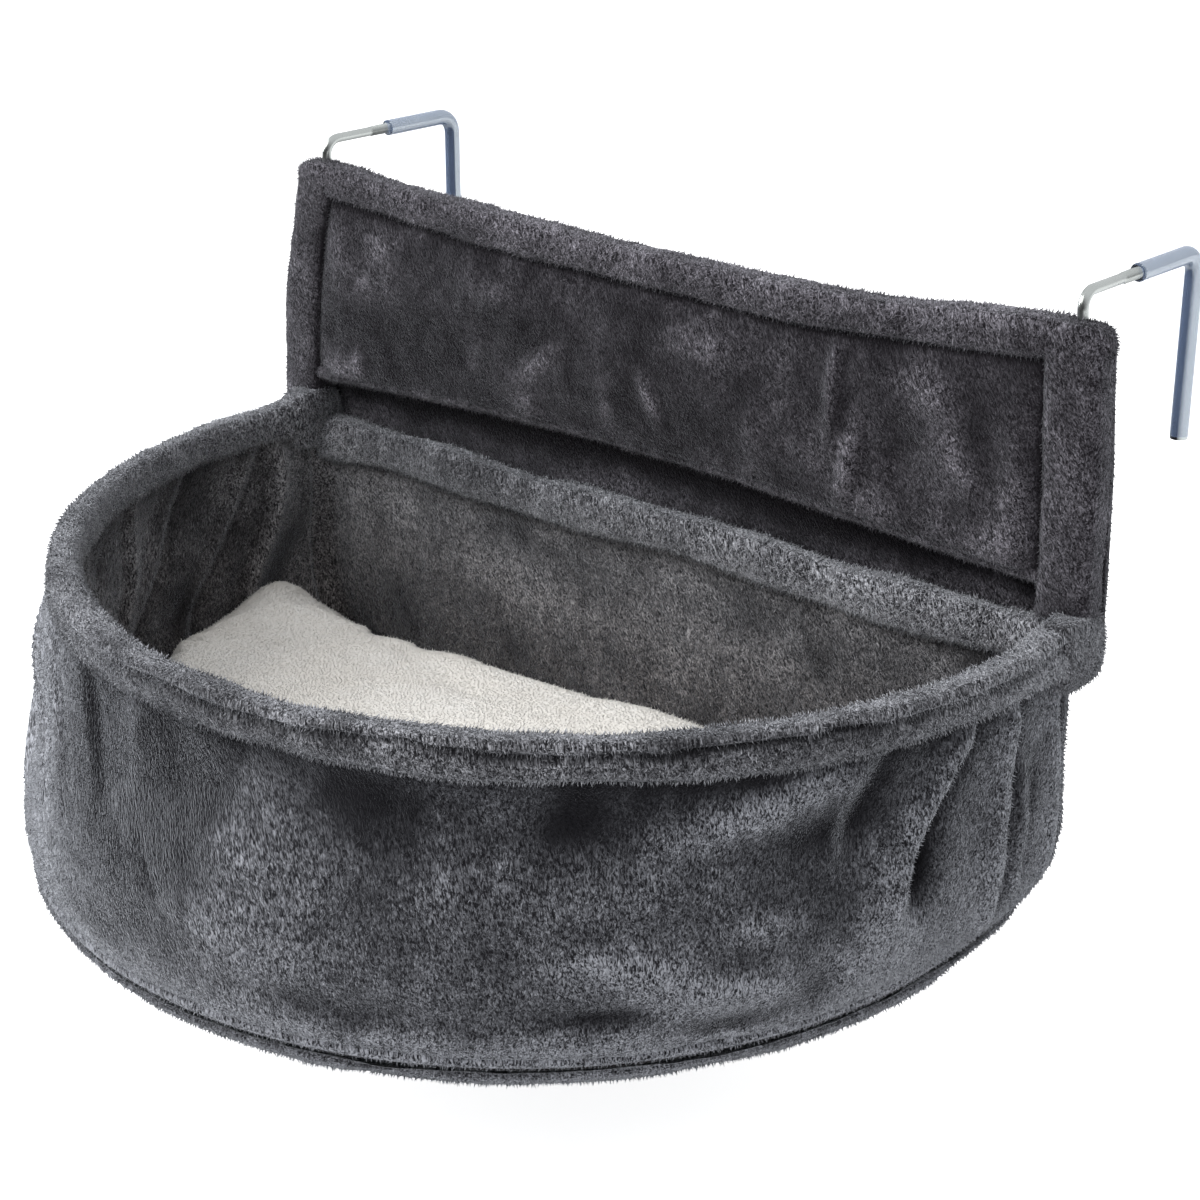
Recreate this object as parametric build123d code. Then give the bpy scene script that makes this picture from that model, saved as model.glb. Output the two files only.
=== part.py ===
from build123d import *
import os
from math import cos, pi, sin, sqrt

# A cat bed that hangs on a radiator: a plush bag on a wire hoop, a padded back panel, two screw hooks
# X runs along the radiator, Y towards the wall, Z up
# The origin lies on the radiator's top edge, midway between the hooks and in the middle of the gap they leave

# Hooks and the radiator between them and the panel
hook_spacing = 420.0
radiator_gap = 70.0
arm_diameter = 7.4
sleeve_wall = 0.6
sleeve_clearance = 0.05
leg_length = 78.0
arm_bend_radius = 9.0
sleeve_mouth_overhang = 3.0
leg_bare_end = 1.5

# Uprights with their threaded ends, and the thread insert in each arm
rod_diameter = 4.4
rod_bend_radius = 7.0
thread_diameter = 4.9
thread_start = 27.0
thread_length = 30.0
thread_in_sight = 10.0
insert_diameter = 5.9
insert_length = 12.0
insert_depth = 1.0
insert_clearance = 0.05
bore_depth = 30.0

# Wire hoop of the rim, the bar behind it and the clips that join them
hoop_radius = 221.0
hoop_side_run = 47.0
hoop_drop = 130.0
hoop_diameter = 6.6
hoop_bend_radius = 14.0
socket_clearance = 0.05
upturn_height = 50.0
socket_depth = 32.0
bar_diameter = 6.0
bar_wall = 1.0
bar_drop = 10.0
clip_width = 14.0
clip_height = 24.0
clip_front_reach = 22.0
clip_round = 2.5
clip_socket = 8.0

# Cloth: the gap between sewn pieces, the thickness of outer cloth and lining
cloth_gap = 0.3
outer_cloth = 3.0
lining_cloth = 2.5

# Back panel
panel_drop = 6.0
back_sheet = 3.0
channel_width = 26.0
channel_front = 10.0
channel_back = 7.0
channel_round = 7.0
channel_collar = 8.0
top_channel_height = 15.0
top_channel_front = 9.0
top_sag = 8.0
panel_face_front = 8.0
panel_face = 3.5
hem_drop = 112.0
hem_bow = 9.0
hem_diameter = 9.0
sheet_tuck = 10.0
sheet_round = 12.0

# Rolled channels of the rim and the rear edge
rim_width = 18.0
rim_height = 24.0
roll_depth = 16.0
roll_height = 20.0
roll_round = 7.0
corner_wall = 2.4
corner_round = 3.0

# Bag
bag_depth = 118.0
base_draw_in = 1.0
base_side_run = 82.0
bag_belly = 8.0
bag_corner = 14.0
fold_count = 3
fold_depth = 4.0
welt_diameter = 5.0
floor_sag = 14.0
floor_inset = 16.0

# Cushion
cushion_side_gap = 9.2
cushion_side_run = 33.0
cushion_rear_gap = 17.0
cushion_height = 40.0
cushion_corner = 26.0
cover_cloth = 2.0

# Cushion outline at a share of the height, as a share of the full outline, and the height share of its seam
cushion_shares = [
    (0.0, 0.9),
    (0.1, 0.95),
    (0.25, 0.985),
    (0.42, 1.0),
    (0.58, 0.99),
    (0.72, 0.96),
    (0.84, 0.9),
    (0.93, 0.8),
    (0.98, 0.66),
    (1.0, 0.48),
]
cushion_seam_share = 0.42
# Where the bag bellies out, as a share of its depth, and how much of the step to the base it has made there
belly_depth_share = 0.5
belly_step_share = 0.5
# How far the wall's folds reach round the half-round front, and what is left of their depth at its ends
fold_turn_share = 0.16
fold_end_share = 0.3
# Part of a bend's radius between a quarter arc's middle and the corner it rounds
bow_share = 1 - 1 / sqrt(2)

# Places that follow from the sizes
sleeve_bore = arm_diameter + 2 * sleeve_clearance
sleeve_diameter = sleeve_bore + 2 * sleeve_wall
arm_z = sleeve_diameter / 2
leg_y = radiator_gap / 2 + sleeve_diameter / 2
rod_y = -radiator_gap / 2 - back_sheet - channel_back
rod_end_y = rod_y + thread_start + thread_length
sleeve_mouth_y = rod_y + thread_start + thread_in_sight
arm_mouth_y = sleeve_mouth_y + sleeve_mouth_overhang
panel_top = -panel_drop
sheet_y = rod_y + channel_back
hoop_z = -hoop_drop
hoop_y = rod_y - hoop_side_run
bar_z = hoop_z - bar_drop
roll_y = sheet_y - cloth_gap - roll_depth / 2
clip_inner_x = hoop_radius - clip_width / 2
clip_z = (hoop_z + bar_z) / 2
clip_back_y = sheet_y - 2 * cloth_gap - corner_wall
corner_inner_x = clip_inner_x - corner_wall - cloth_gap
corner_front = rod_y - clip_front_reach - corner_wall - cloth_gap
corner_top = clip_z + clip_height / 2 + corner_wall + cloth_gap
rim_bottom = hoop_z - rim_height / 2
roll_bottom = bar_z - roll_height / 2
field_top = panel_top - top_channel_height - cloth_gap
field_bottom = -hem_drop + hem_diameter / 2 + cloth_gap
wadding_y = rod_y - panel_face_front + panel_face + cloth_gap
base_z = hoop_z - bag_depth
base_radius = hoop_radius - base_draw_in
base_y = rod_y - base_side_run
floor_bottom = base_z - welt_diameter / 2 - floor_sag
wall_depth = outer_cloth + cloth_gap + lining_cloth
lining_inset = outer_cloth + cloth_gap
rear_y = roll_y + wall_depth / 2
cushion_radius = base_radius - wall_depth - cushion_side_gap
cushion_back_y = rod_y - cushion_rear_gap
cushion_y = cushion_back_y - cushion_side_run
cushion_bottom = floor_bottom + outer_cloth + lining_cloth + 2 * cloth_gap

# The line that the right upright stands on, from the hoop's plane to the hook's arm
foot = Vector(hoop_radius, rod_y, hoop_z)
head = Vector(hook_spacing / 2, rod_y, arm_z)
lean = (head - foot).normalized()
rod_plane = Plane(origin=foot, x_dir=(lean.Z, 0, -lean.X), z_dir=lean)


def tube_along(path, diameter, bore=0.0):
    """A round bar, or a tube where it has a bore, swept along a path."""
    start = Plane(origin=path @ 0, z_dir=path % 0)
    section = Circle(diameter / 2)
    if bore:
        section -= Circle(bore / 2)
    return sweep(start * section, path=path)


def round_bar(diameter, length, start, direction):
    """A straight round bar from a start point."""
    plane = Plane(origin=start, z_dir=direction)
    return extrude(plane * Circle(diameter / 2), length)


def block(low, high):
    """A box between two corners."""
    low, high = Vector(low), Vector(high)
    size = high - low
    middle = (low + high) * 0.5
    return Pos(middle) * Box(size.X, size.Y, size.Z)


def mirrored(piece):
    """The same piece on the left side."""
    return piece.mirror(Plane.YZ)


def quarter_arc(radius, centre_y, z):
    """A quarter of the half-round front, on the right side."""
    diagonal = radius / sqrt(2)
    return Edge.make_three_point_arc(
        Vector(radius, centre_y, z),
        Vector(diagonal, centre_y - diagonal, z),
        Vector(0, centre_y - radius, z),
    )


def d_outline(radius, centre_y, back_y, corner, z):
    """A closed outline with a straight back, rounded back corners, straight sides and a half-round front."""
    bow = corner * bow_share
    right = [
        Edge.make_line((0, back_y, z), (radius - corner, back_y, z)),
        Edge.make_three_point_arc(
            Vector(radius - corner, back_y, z),
            Vector(radius - bow, back_y - bow, z),
            Vector(radius, back_y - corner, z),
        ),
        Edge.make_line((radius, back_y - corner, z), (radius, centre_y, z)),
        quarter_arc(radius, centre_y, z),
    ]
    left = [mirrored(edge) for edge in reversed(right)]
    return Wire(right + left)


# Metal frame


def hoop_path(rise):
    """From one upturned end down, round the front of the bag and up as far on the other side."""
    turn = Vector(hoop_radius, hoop_y, hoop_z)
    side = FilletPolyline(foot + lean * rise, foot, turn, radius=hoop_bend_radius)
    right = [*side.edges(), quarter_arc(hoop_radius, hoop_y, hoop_z)]
    left = [mirrored(edge) for edge in reversed(right)]
    return Wire(right + left)


def make_hoop():
    """The rim's bent tube, open at its upturned ends to take the uprights."""
    return tube_along(hoop_path(upturn_height), hoop_diameter, rod_diameter + 2 * socket_clearance)


def make_upright():
    """A rod that stands in the hoop's socket, bends back over the panel and ends in a thread."""
    rod_end = Vector(head.X, rod_end_y, arm_z)
    path = FilletPolyline(foot + lean * (upturn_height - socket_depth), head, rod_end, radius=rod_bend_radius)
    thread = round_bar(thread_diameter, thread_length, rod_end - Vector(0, thread_length, 0), (0, 1, 0))
    return tube_along(path, rod_diameter) + thread


def make_rear_bar():
    """The straight tube in the rear roll."""
    reach = clip_inner_x + clip_socket
    start = Vector(-reach, roll_y, bar_z)
    bar = round_bar(bar_diameter, 2 * reach, start, (1, 0, 0))
    return bar - round_bar(bar_diameter - 2 * bar_wall, 2 * reach, start, (1, 0, 0))


def clip_box(margin):
    """The space of a corner clip, with a margin all round."""
    low = Vector(clip_inner_x, rod_y - clip_front_reach, clip_z - clip_height / 2)
    high = Vector(clip_inner_x + clip_width, clip_back_y, clip_z + clip_height / 2)
    grow = Vector(margin, margin, margin)
    return block(low - grow, high + grow)


def make_corner_clip():
    """A moulded clip that snaps over the hoop's bend and holds the end of the rear bar."""
    body = clip_box(0)
    body = fillet(body.edges().filter_by(Axis.Y), clip_round)
    body -= tube_along(hoop_path(upturn_height), hoop_diameter + 2 * socket_clearance)
    start = Vector(clip_inner_x - clip_socket, roll_y, bar_z)
    return body - round_bar(bar_diameter + 2 * socket_clearance, 2 * clip_socket, start, (1, 0, 0))


# Hooks


def arm_path(start_y, end_z):
    """Along the radiator's top and down behind it."""
    corner = Vector(head.X, leg_y, arm_z)
    return FilletPolyline(
        Vector(head.X, start_y, arm_z), corner, Vector(head.X, leg_y, end_z), radius=arm_bend_radius
    )


def make_arm():
    """The steel arm, drilled at its mouth for the thread insert and the rod."""
    arm = tube_along(arm_path(arm_mouth_y, arm_z - leg_length), arm_diameter)
    bore = insert_diameter + 2 * insert_clearance
    return arm - round_bar(bore, bore_depth, Vector(head.X, arm_mouth_y, arm_z), (0, 1, 0))


def make_insert():
    """The threaded bush in the arm's mouth."""
    start = Vector(head.X, arm_mouth_y + insert_depth, arm_z)
    bush = round_bar(insert_diameter, insert_length, start, (0, 1, 0))
    return bush - round_bar(thread_diameter + 2 * insert_clearance, insert_length, start, (0, 1, 0))


def make_sleeve():
    """The clear sleeve drawn over the arm, past its mouth and down the leg."""
    path = arm_path(arm_mouth_y - sleeve_mouth_overhang, arm_z - leg_length + leg_bare_end)
    return tube_along(path, sleeve_diameter, sleeve_bore)


# Back panel


def make_side_channel():
    """The padded channel that the hoop's end and the upright stand in."""
    depth = channel_front + channel_back - cloth_gap
    section = Pos(0, (channel_back - cloth_gap - channel_front) / 2) * RectangleRounded(
        channel_width, depth, channel_round
    )
    body = extrude(rod_plane * section, (head - foot).length)
    low = Vector(0, rod_y - hoop_radius, corner_top + cloth_gap)
    body &= block(low, Vector(2 * hoop_radius, rod_y + hoop_radius, panel_top))
    body = fillet(body.faces().sort_by(Axis.Z)[-1].edges(), channel_round - cloth_gap)
    body -= hoop_space
    return body - round_bar(rod_diameter + 2 * cloth_gap, (head - foot).length, foot, lean)


def panel_face_outline(y, top, bottom, top_bow, bottom_bow):
    """An upright face between the side channels, its top edge hanging and its bottom edge bowed."""
    reach = hoop_radius
    corners = [Vector(-reach, y, top), Vector(reach, y, top), Vector(reach, y, bottom), Vector(-reach, y, bottom)]
    edges = [
        Edge.make_three_point_arc(corners[0], Vector(0, y, top - top_bow), corners[1]),
        Edge.make_line(corners[1], corners[2]),
        Edge.make_three_point_arc(corners[2], Vector(0, y, bottom + bottom_bow), corners[3]),
        Edge.make_line(corners[3], corners[0]),
    ]
    return Face(Wire(edges))


def between_channels(piece):
    """The piece cut off just short of the side channels' inner faces."""
    reach = 2 * hoop_radius
    face = Pos((reach - channel_width) / 2 - cloth_gap, 0) * Rectangle(reach, reach)
    outside = extrude(rod_plane * face, reach, both=True)
    return piece - outside - mirrored(outside)


def make_panel_sheet(front_y, thickness):
    """One padded layer of the panel."""
    face = panel_face_outline(front_y, field_top, field_bottom, top_sag, hem_bow)
    return between_channels(extrude(face, thickness, dir=(0, 1, 0)))


def make_back_sheet():
    """The flat back of the panel, from its top edge down behind the rear roll."""
    top_x = head.X + channel_width / 2
    bottom_x = hoop_radius + channel_width / 2
    bottom = roll_bottom + sheet_tuck
    points = [
        Vector(-bottom_x, sheet_y, bottom),
        Vector(-top_x, sheet_y, panel_top),
        Vector(top_x, sheet_y, panel_top),
        Vector(bottom_x, sheet_y, bottom),
    ]
    top = Edge.make_three_point_arc(points[1], Vector(0, sheet_y, panel_top - top_sag), points[2])
    sides = [Edge.make_line(points[0], points[1]), Edge.make_line(points[2], points[3])]
    face = Face(Wire([sides[0], top, sides[1], Edge.make_line(points[3], points[0])]))
    sheet = extrude(face, back_sheet, dir=(0, 1, 0))
    return fillet(sheet.edges().filter_by(Axis.Y), sheet_round)


def make_top_channel():
    """The rolled top edge of the panel, hanging a little between the uprights."""
    front_y = rod_y - top_channel_front
    face = panel_face_outline(front_y, panel_top, panel_top - top_channel_height, top_sag, -top_sag)
    body = extrude(face, sheet_y - cloth_gap - front_y, dir=(0, 1, 0))
    body = fillet(body.edges().filter_by(GeomType.CIRCLE), channel_round)
    return between_channels(body)


def make_hem():
    """The rolled lower edge of the panel's front, its middle higher than its ends."""
    y = rod_y - panel_face_front + hem_diameter / 2
    ends = Vector(-hoop_radius, y, -hem_drop), Vector(hoop_radius, y, -hem_drop)
    path = Edge.make_three_point_arc(ends[0], Vector(0, y, hem_bow - hem_drop), ends[1])
    start = Plane(origin=path @ 0, z_dir=path % 0)
    return between_channels(sweep(start * Circle(hem_diameter / 2), path=path))


# Rim, rear roll and corners


def rim_path():
    """The hoop's line from one corner clip round the front to the other."""
    start = Vector(hoop_radius, corner_front - cloth_gap, hoop_z)
    right = [
        Edge.make_line(start, Vector(hoop_radius, hoop_y, hoop_z)),
        quarter_arc(hoop_radius, hoop_y, hoop_z),
    ]
    left = [mirrored(edge) for edge in reversed(right)]
    return Wire(right + left)


def make_rim_channel():
    """The rolled rim that is sewn round the hoop."""
    path = rim_path()
    section = RectangleRounded(rim_width, rim_height, roll_round) - Circle(hoop_diameter / 2 + cloth_gap)
    start = Plane(origin=path @ 0, x_dir=(1, 0, 0), z_dir=path % 0)
    return sweep(start * section, path=path)


def make_rear_roll():
    """The rolled rear edge that is sewn round the straight bar."""
    reach = corner_inner_x - cloth_gap
    section = RectangleRounded(roll_depth, roll_height, roll_round) - Circle(bar_diameter / 2 + cloth_gap)
    start = Plane(origin=(-reach, roll_y, bar_z), x_dir=(0, 1, 0), z_dir=(1, 0, 0))
    return extrude(start * section, 2 * reach)


def corner_box(margin):
    """The space of the cloth round a corner clip, with a margin all round."""
    return clip_box(corner_wall + cloth_gap + margin)


def make_corner_cover():
    """The cloth that closes the corner where the rim, the rear roll and the side channel meet."""
    body = corner_box(0)
    body = fillet(body.edges(), corner_round)
    body -= clip_box(cloth_gap)
    body -= hoop_space
    start = Vector(0, roll_y, bar_z)
    return body - round_bar(bar_diameter + 2 * cloth_gap, clip_inner_x, start, (1, 0, 0))


# Bag


def folded_outline(radius, centre_y, back_y, corner, z, depth):
    """The bag's outline with upright folds along each side and on round to the front."""
    bow = corner * bow_share
    side_run = back_y - corner - centre_y
    turn = pi / 2 * fold_turn_share
    fold_run = (side_run + radius * turn) / (2 * fold_count)

    def place(distance, out):
        """A point along the side and the front arc, moved outwards."""
        if distance <= side_run:
            return Vector(radius + out, centre_y + side_run - distance, z)
        angle = (distance - side_run) / radius
        return Vector((radius + out) * cos(angle), centre_y - (radius + out) * sin(angle), z)

    right = [
        Edge.make_line((0, back_y, z), (radius - corner, back_y, z)),
        Edge.make_three_point_arc(
            Vector(radius - corner, back_y, z),
            Vector(radius - bow, back_y - bow, z),
            Vector(radius, back_y - corner, z),
        ),
    ]
    for step in range(2 * fold_count):
        out = depth if step % 2 == 0 else -depth
        start, end = fold_run * step, fold_run * (step + 1)
        right.append(Edge.make_three_point_arc(place(start, 0), place((start + end) / 2, out), place(end, 0)))
    front = side_run + radius * pi / 2
    right.append(Edge.make_three_point_arc(place(end, 0), place((end + front) / 2, 0), place(front, 0)))
    left = [mirrored(edge) for edge in reversed(right)]
    return Wire(right + left)


def bag_levels(inset):
    """The bag's outline at three heights, drawn in by the thickness of what lies outside."""
    top = (hoop_radius + wall_depth / 2, hoop_y, rim_bottom - cloth_gap)
    base = (base_radius, base_y, base_z + welt_diameter / 2)
    steps = [
        (0.0, 0.0, 0.0, fold_depth * fold_end_share),
        (belly_depth_share, belly_step_share, bag_belly, fold_depth),
        (1.0, 1.0, 0.0, fold_depth * fold_end_share),
    ]
    wires = []
    for depth_share, step_share, belly, depth in steps:
        radius = top[0] + (base[0] - top[0]) * step_share + belly
        centre_y = top[1] + (base[1] - top[1]) * step_share
        z = top[2] + (base[2] - top[2]) * depth_share
        wires.append(folded_outline(radius - inset, centre_y, rear_y - inset, bag_corner - inset, z, depth))
    return wires


def bag_shell(inset, thickness):
    """The bag's wall all round, open above and below."""
    return Solid.make_loft(bag_levels(inset)) - Solid.make_loft(bag_levels(inset + thickness))


def largest(piece):
    """The largest of the solids that a cut leaves."""
    return piece.solids().sort_by(SortBy.VOLUME)[-1]


def under_the_rolls(piece):
    """The wall without the space of the rear roll and the two corners."""
    roll_low = Vector(-hoop_radius, roll_y - roll_depth / 2 - cloth_gap, roll_bottom - cloth_gap)
    roll_high = Vector(hoop_radius, roll_y + roll_depth / 2 + cloth_gap, hoop_z)
    corner = corner_box(cloth_gap)
    return piece - block(roll_low, roll_high) - corner - mirrored(corner)


def split_wall(shell):
    """The half-round front wall and the straight rear wall, which meet at the two side seams."""
    seam_y = rear_y - bag_corner
    reach = 2 * hoop_radius
    behind = block((-reach, seam_y, base_z - reach), (reach, seam_y + reach, reach))
    front = largest(under_the_rolls(shell - behind))
    rear = largest(under_the_rolls(shell & behind))
    return front, rear


def tray(inset, thickness, rise):
    """A shallow dish that closes the bag below, drawn in and lifted by what lies under it."""
    def dish(wall, low):
        """The solid dish inside a wall of that thickness, down to a low level."""
        top_inset, low_inset = wall, wall + floor_inset
        corner = bag_corner - wall
        top = base_z - welt_diameter / 2
        return Solid.make_loft(
            [
                d_outline(base_radius - top_inset, base_y, rear_y - top_inset, corner, top),
                d_outline(base_radius - low_inset, base_y, rear_y - low_inset, corner, low),
            ],
            ruled=True,
        )

    return dish(inset, floor_bottom + rise) - dish(inset + thickness, floor_bottom + rise + thickness)


def make_welt():
    """The corded seam between the bag's wall and its floor."""
    middle = outer_cloth / 2
    path = d_outline(base_radius - middle, base_y, rear_y - middle, bag_corner - middle, base_z)
    start = Plane(origin=path @ 0, z_dir=path % 0)
    return sweep(start * Circle(welt_diameter / 2 - cloth_gap / 2), path=path)


# Cushion


def cushion_form(inset):
    """A crowned pad whose sides draw in above and below."""
    pivot_y = cushion_y - cushion_radius / 2
    wires = []
    for height_share, outline_share in cushion_shares:
        radius = (cushion_radius - inset) * outline_share
        centre_y = pivot_y + (cushion_y - pivot_y) * outline_share
        back_y = pivot_y + (cushion_back_y - inset - pivot_y) * outline_share
        corner = (cushion_corner - inset) * outline_share
        z = cushion_bottom + inset + (cushion_height - 2 * inset) * height_share
        wires.append(d_outline(radius, centre_y, back_y, corner, z))
    return Solid.make_loft(wires, ruled=True)


def make_cushion():
    """The cover's upper and lower halves, which meet at the seam round the widest level, and the filling."""
    seam_z = cushion_bottom + cushion_height * cushion_seam_share
    reach = 2 * cushion_radius
    above = block((-reach, cushion_back_y - 2 * reach, seam_z), (reach, reach, seam_z + reach))
    cover = cushion_form(0) - cushion_form(cover_cloth)
    return cover & above, cover - above, cushion_form(cover_cloth + cloth_gap)


collar_rise = (panel_top - channel_collar - hoop_z) / lean.Z
hoop_space = tube_along(hoop_path(collar_rise), hoop_diameter + 2 * cloth_gap)

parts = {}
for name, make in {
    "upright": make_upright,
    "thread_insert": make_insert,
    "hook_arm": make_arm,
    "hook_sleeve": make_sleeve,
    "corner_clip": make_corner_clip,
    "corner_cover": make_corner_cover,
    "panel_channel": make_side_channel,
}.items():
    piece = make()
    parts["right_" + name] = piece
    parts["left_" + name] = mirrored(piece)

parts["rim_hoop"] = make_hoop()
parts["rear_bar"] = make_rear_bar()
parts["panel_front"] = make_panel_sheet(rod_y - panel_face_front, panel_face)
parts["panel_wadding"] = make_panel_sheet(wadding_y, sheet_y - cloth_gap - wadding_y)
parts["panel_back"] = make_back_sheet()
parts["panel_top_channel"] = make_top_channel()
parts["panel_hem"] = make_hem()
parts["rim_channel"] = make_rim_channel()
parts["rear_roll"] = make_rear_roll()
parts["bag_front_wall"], parts["bag_rear_wall"] = split_wall(bag_shell(0, outer_cloth))
parts["lining_front"], parts["lining_rear"] = split_wall(bag_shell(lining_inset, lining_cloth))
parts["bag_floor"] = tray(0, outer_cloth, 0)
parts["lining_floor"] = tray(lining_inset, lining_cloth, lining_inset)
parts["base_welt"] = make_welt()
parts["cushion_top"], parts["cushion_bottom"], parts["cushion_filling"] = make_cushion()

os.makedirs("parts", exist_ok=True)
for name, piece in parts.items():
    export_step(piece, f"parts/{name}.step")
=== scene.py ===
import itertools
from functools import partial
from math import cos, pi, radians, sin, sqrt, tau

import bmesh
import bpy
import numpy as np
from mathutils import Euler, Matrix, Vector


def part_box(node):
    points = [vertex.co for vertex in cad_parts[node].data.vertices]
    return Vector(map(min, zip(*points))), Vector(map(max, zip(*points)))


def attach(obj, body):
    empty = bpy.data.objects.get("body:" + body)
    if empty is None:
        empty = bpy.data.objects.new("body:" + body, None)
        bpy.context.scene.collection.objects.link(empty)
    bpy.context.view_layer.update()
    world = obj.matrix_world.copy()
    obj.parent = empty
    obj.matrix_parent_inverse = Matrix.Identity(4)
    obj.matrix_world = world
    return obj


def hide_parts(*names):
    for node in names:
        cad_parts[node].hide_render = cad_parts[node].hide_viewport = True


# The looks of a radiator cat bed: plush bag, padded back panel, loose cushion and screw hooks
# Metres, X along the radiator, Y towards the wall, Z up

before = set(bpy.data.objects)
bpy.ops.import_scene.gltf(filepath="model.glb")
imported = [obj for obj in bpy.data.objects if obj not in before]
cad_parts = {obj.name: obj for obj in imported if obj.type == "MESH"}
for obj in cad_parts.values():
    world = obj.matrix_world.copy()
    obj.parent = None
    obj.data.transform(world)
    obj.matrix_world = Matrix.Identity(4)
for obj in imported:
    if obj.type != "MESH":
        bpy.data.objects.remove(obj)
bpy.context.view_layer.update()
MM = 0.001

# Places read from the frame
rim_low, rim_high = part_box("rim_channel")
wall_low, wall_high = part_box("bag_front_wall")
_, rear_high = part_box("bag_rear_wall")
welt_low, welt_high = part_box("base_welt")
floor_low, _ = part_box("bag_floor")
roll_low, roll_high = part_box("rear_roll")
sheet_low, sheet_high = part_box("panel_back")
field_low, field_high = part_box("panel_front")
pad_low, pad_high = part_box("panel_wadding")
top_low, top_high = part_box("panel_top_channel")
hem_low, hem_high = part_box("panel_hem")
channel_low, channel_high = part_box("right_panel_channel")
corner_low, corner_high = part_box("right_corner_cover")
cushion_low, cushion_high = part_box("cushion_bottom")
upright_low, upright_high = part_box("right_upright")
arm_low, arm_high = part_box("right_hook_arm")

# Sizes of the rim and the bag
rim_width = 18 * MM
hoop_radius = rim_high.x - rim_width / 2
hoop_y = rim_low.y + rim_high.x
hoop_z = (rim_low.z + rim_high.z) / 2
cloth = 3 * MM
lining = 2.5 * MM
between = 0.3 * MM
top_radius = hoop_radius + (cloth + lining + between) / 2
base_radius = welt_high.x - 4.5 * MM
base_y = welt_low.y + welt_high.x
wall_height = wall_high.z - wall_low.z
wall_run = 0.80
rear_y = rear_high.y
bag_corner = 14 * MM
seam_y = rear_y - bag_corner

# Thicknesses of the plush and of the thinner lining, as they are drawn
plush_cloth = 1.5 * MM
lining_cloth = 1.2 * MM

# How far the bag bellies out, draws in at its rear corners and spreads on the left below its rim
belly = 7.5 * MM
tucked = 4 * MM
left_spread = 8.5 * MM
# How far its wall runs up into the rim, and what brings the belly's curve to one at its fullest
wall_in_rim = 3 * MM
to_fullest = 9.5

# Sizes of the rods and hooks
rod_radius = 2.2 * MM
rod_bend = 7 * MM
rod_sides = 24
thread_crest = 2.45 * MM
thread_root = 2.05 * MM
thread_pitch = 0.8 * MM
thread_length = 30 * MM
thread_steps = 6
hook_x = (arm_low.x + arm_high.x) / 2
arm_z = upright_high.z - thread_crest
rod_y = upright_low.y + rod_radius
foot_x = hoop_radius

# Step between points on cloth
cloth_step = 2.6 * MM


def unit(value):
    """A value held between nought and one."""
    return np.clip(value, 0, 1)


def bell(value, middle, width):
    """One at the middle, falling softly to nought some widths away."""
    return np.exp(-((value - middle) / width) ** 2)


# Camera, lights and floor

camera_place = Vector((0.6705, -0.8267, 0.2429))
camera_azimuth = 42.0
camera_pitch = 22.2
camera_focal_px = 2440
photo_px = 1200
sensor_mm = 36


def make_camera():
    """The photograph's viewpoint."""
    data = bpy.data.cameras.new("camera")
    data.sensor_width = sensor_mm
    data.lens = camera_focal_px / photo_px * sensor_mm
    camera = bpy.data.objects.new("camera", data)
    camera.location = camera_place
    camera.rotation_euler = Euler((radians(90 - camera_pitch), 0, radians(camera_azimuth)))
    bpy.context.collection.objects.link(camera)
    bpy.context.scene.camera = camera
    bpy.context.scene.view_settings.view_transform = "Standard"


def make_lamp(name, place, target, size, power, color):
    """A soft square lamp that points at a target."""
    data = bpy.data.lights.new(name, "AREA")
    data.size, data.energy, data.color = size, power, color
    lamp = bpy.data.objects.new(name, data)
    lamp.location = place
    lamp.rotation_euler = (Vector(target) - Vector(place)).to_track_quat("-Z", "Y").to_euler()
    bpy.context.collection.objects.link(lamp)


def add(tree, kind, **settings):
    """A node with its properties set, and its inputs from values or sockets."""
    node = tree.nodes.new(kind)
    inputs = settings.pop("inputs", {})
    for key, value in settings.items():
        setattr(node, key, value)
    for key, value in inputs.items():
        if isinstance(value, bpy.types.NodeSocket):
            tree.links.new(value, node.inputs[key])
        else:
            node.inputs[key].default_value = value
    return node


def number(tree, operation, first, second):
    """Two numbers put together."""
    return add(tree, "ShaderNodeMath", operation=operation, inputs={0: first, 1: second}).outputs[0]


def direction(tree, operation, first, second, out=0):
    """Two directions put together, or one scaled."""
    key = "Scale" if operation == "SCALE" else 1
    return add(tree, "ShaderNodeVectorMath", operation=operation, inputs={0: first, key: second}).outputs[out]


def ranged(tree, value, low, high, least, most, **settings):
    """A number taken from one range to another."""
    return add(tree, "ShaderNodeMapRange", inputs={
        "Value": value, "From Min": low, "From Max": high, "To Min": least, "To Max": most}, **settings).outputs[0]


def noise(tree, where, scale, detail, **more):
    """Blender's noise at a place."""
    return add(tree, "ShaderNodeTexNoise", inputs={"Vector": where, "Scale": scale, "Detail": detail, **more})


def new_sockets(tree, in_out, kind, *names):
    """New inputs or outputs of a node group."""
    for name in names:
        tree.interface.new_socket(name=name, in_out=in_out, socket_type="NodeSocket" + kind)


def new_material(name):
    """An empty material with its tree."""
    material = bpy.data.materials.new(name)
    material.use_nodes = True
    material.node_tree.nodes.clear()
    return material, material.node_tree


def seen_plainly(tree, gloss=True):
    """One for rays that meet the plain white background, from the camera or through clear things."""
    path = add(tree, "ShaderNodeLightPath").outputs
    first = number(tree, "MAXIMUM", path["Is Camera Ray"], path["Is Transmission Ray"])
    return number(tree, "MAXIMUM", first, path["Is Glossy Ray"]) if gloss else first


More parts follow.
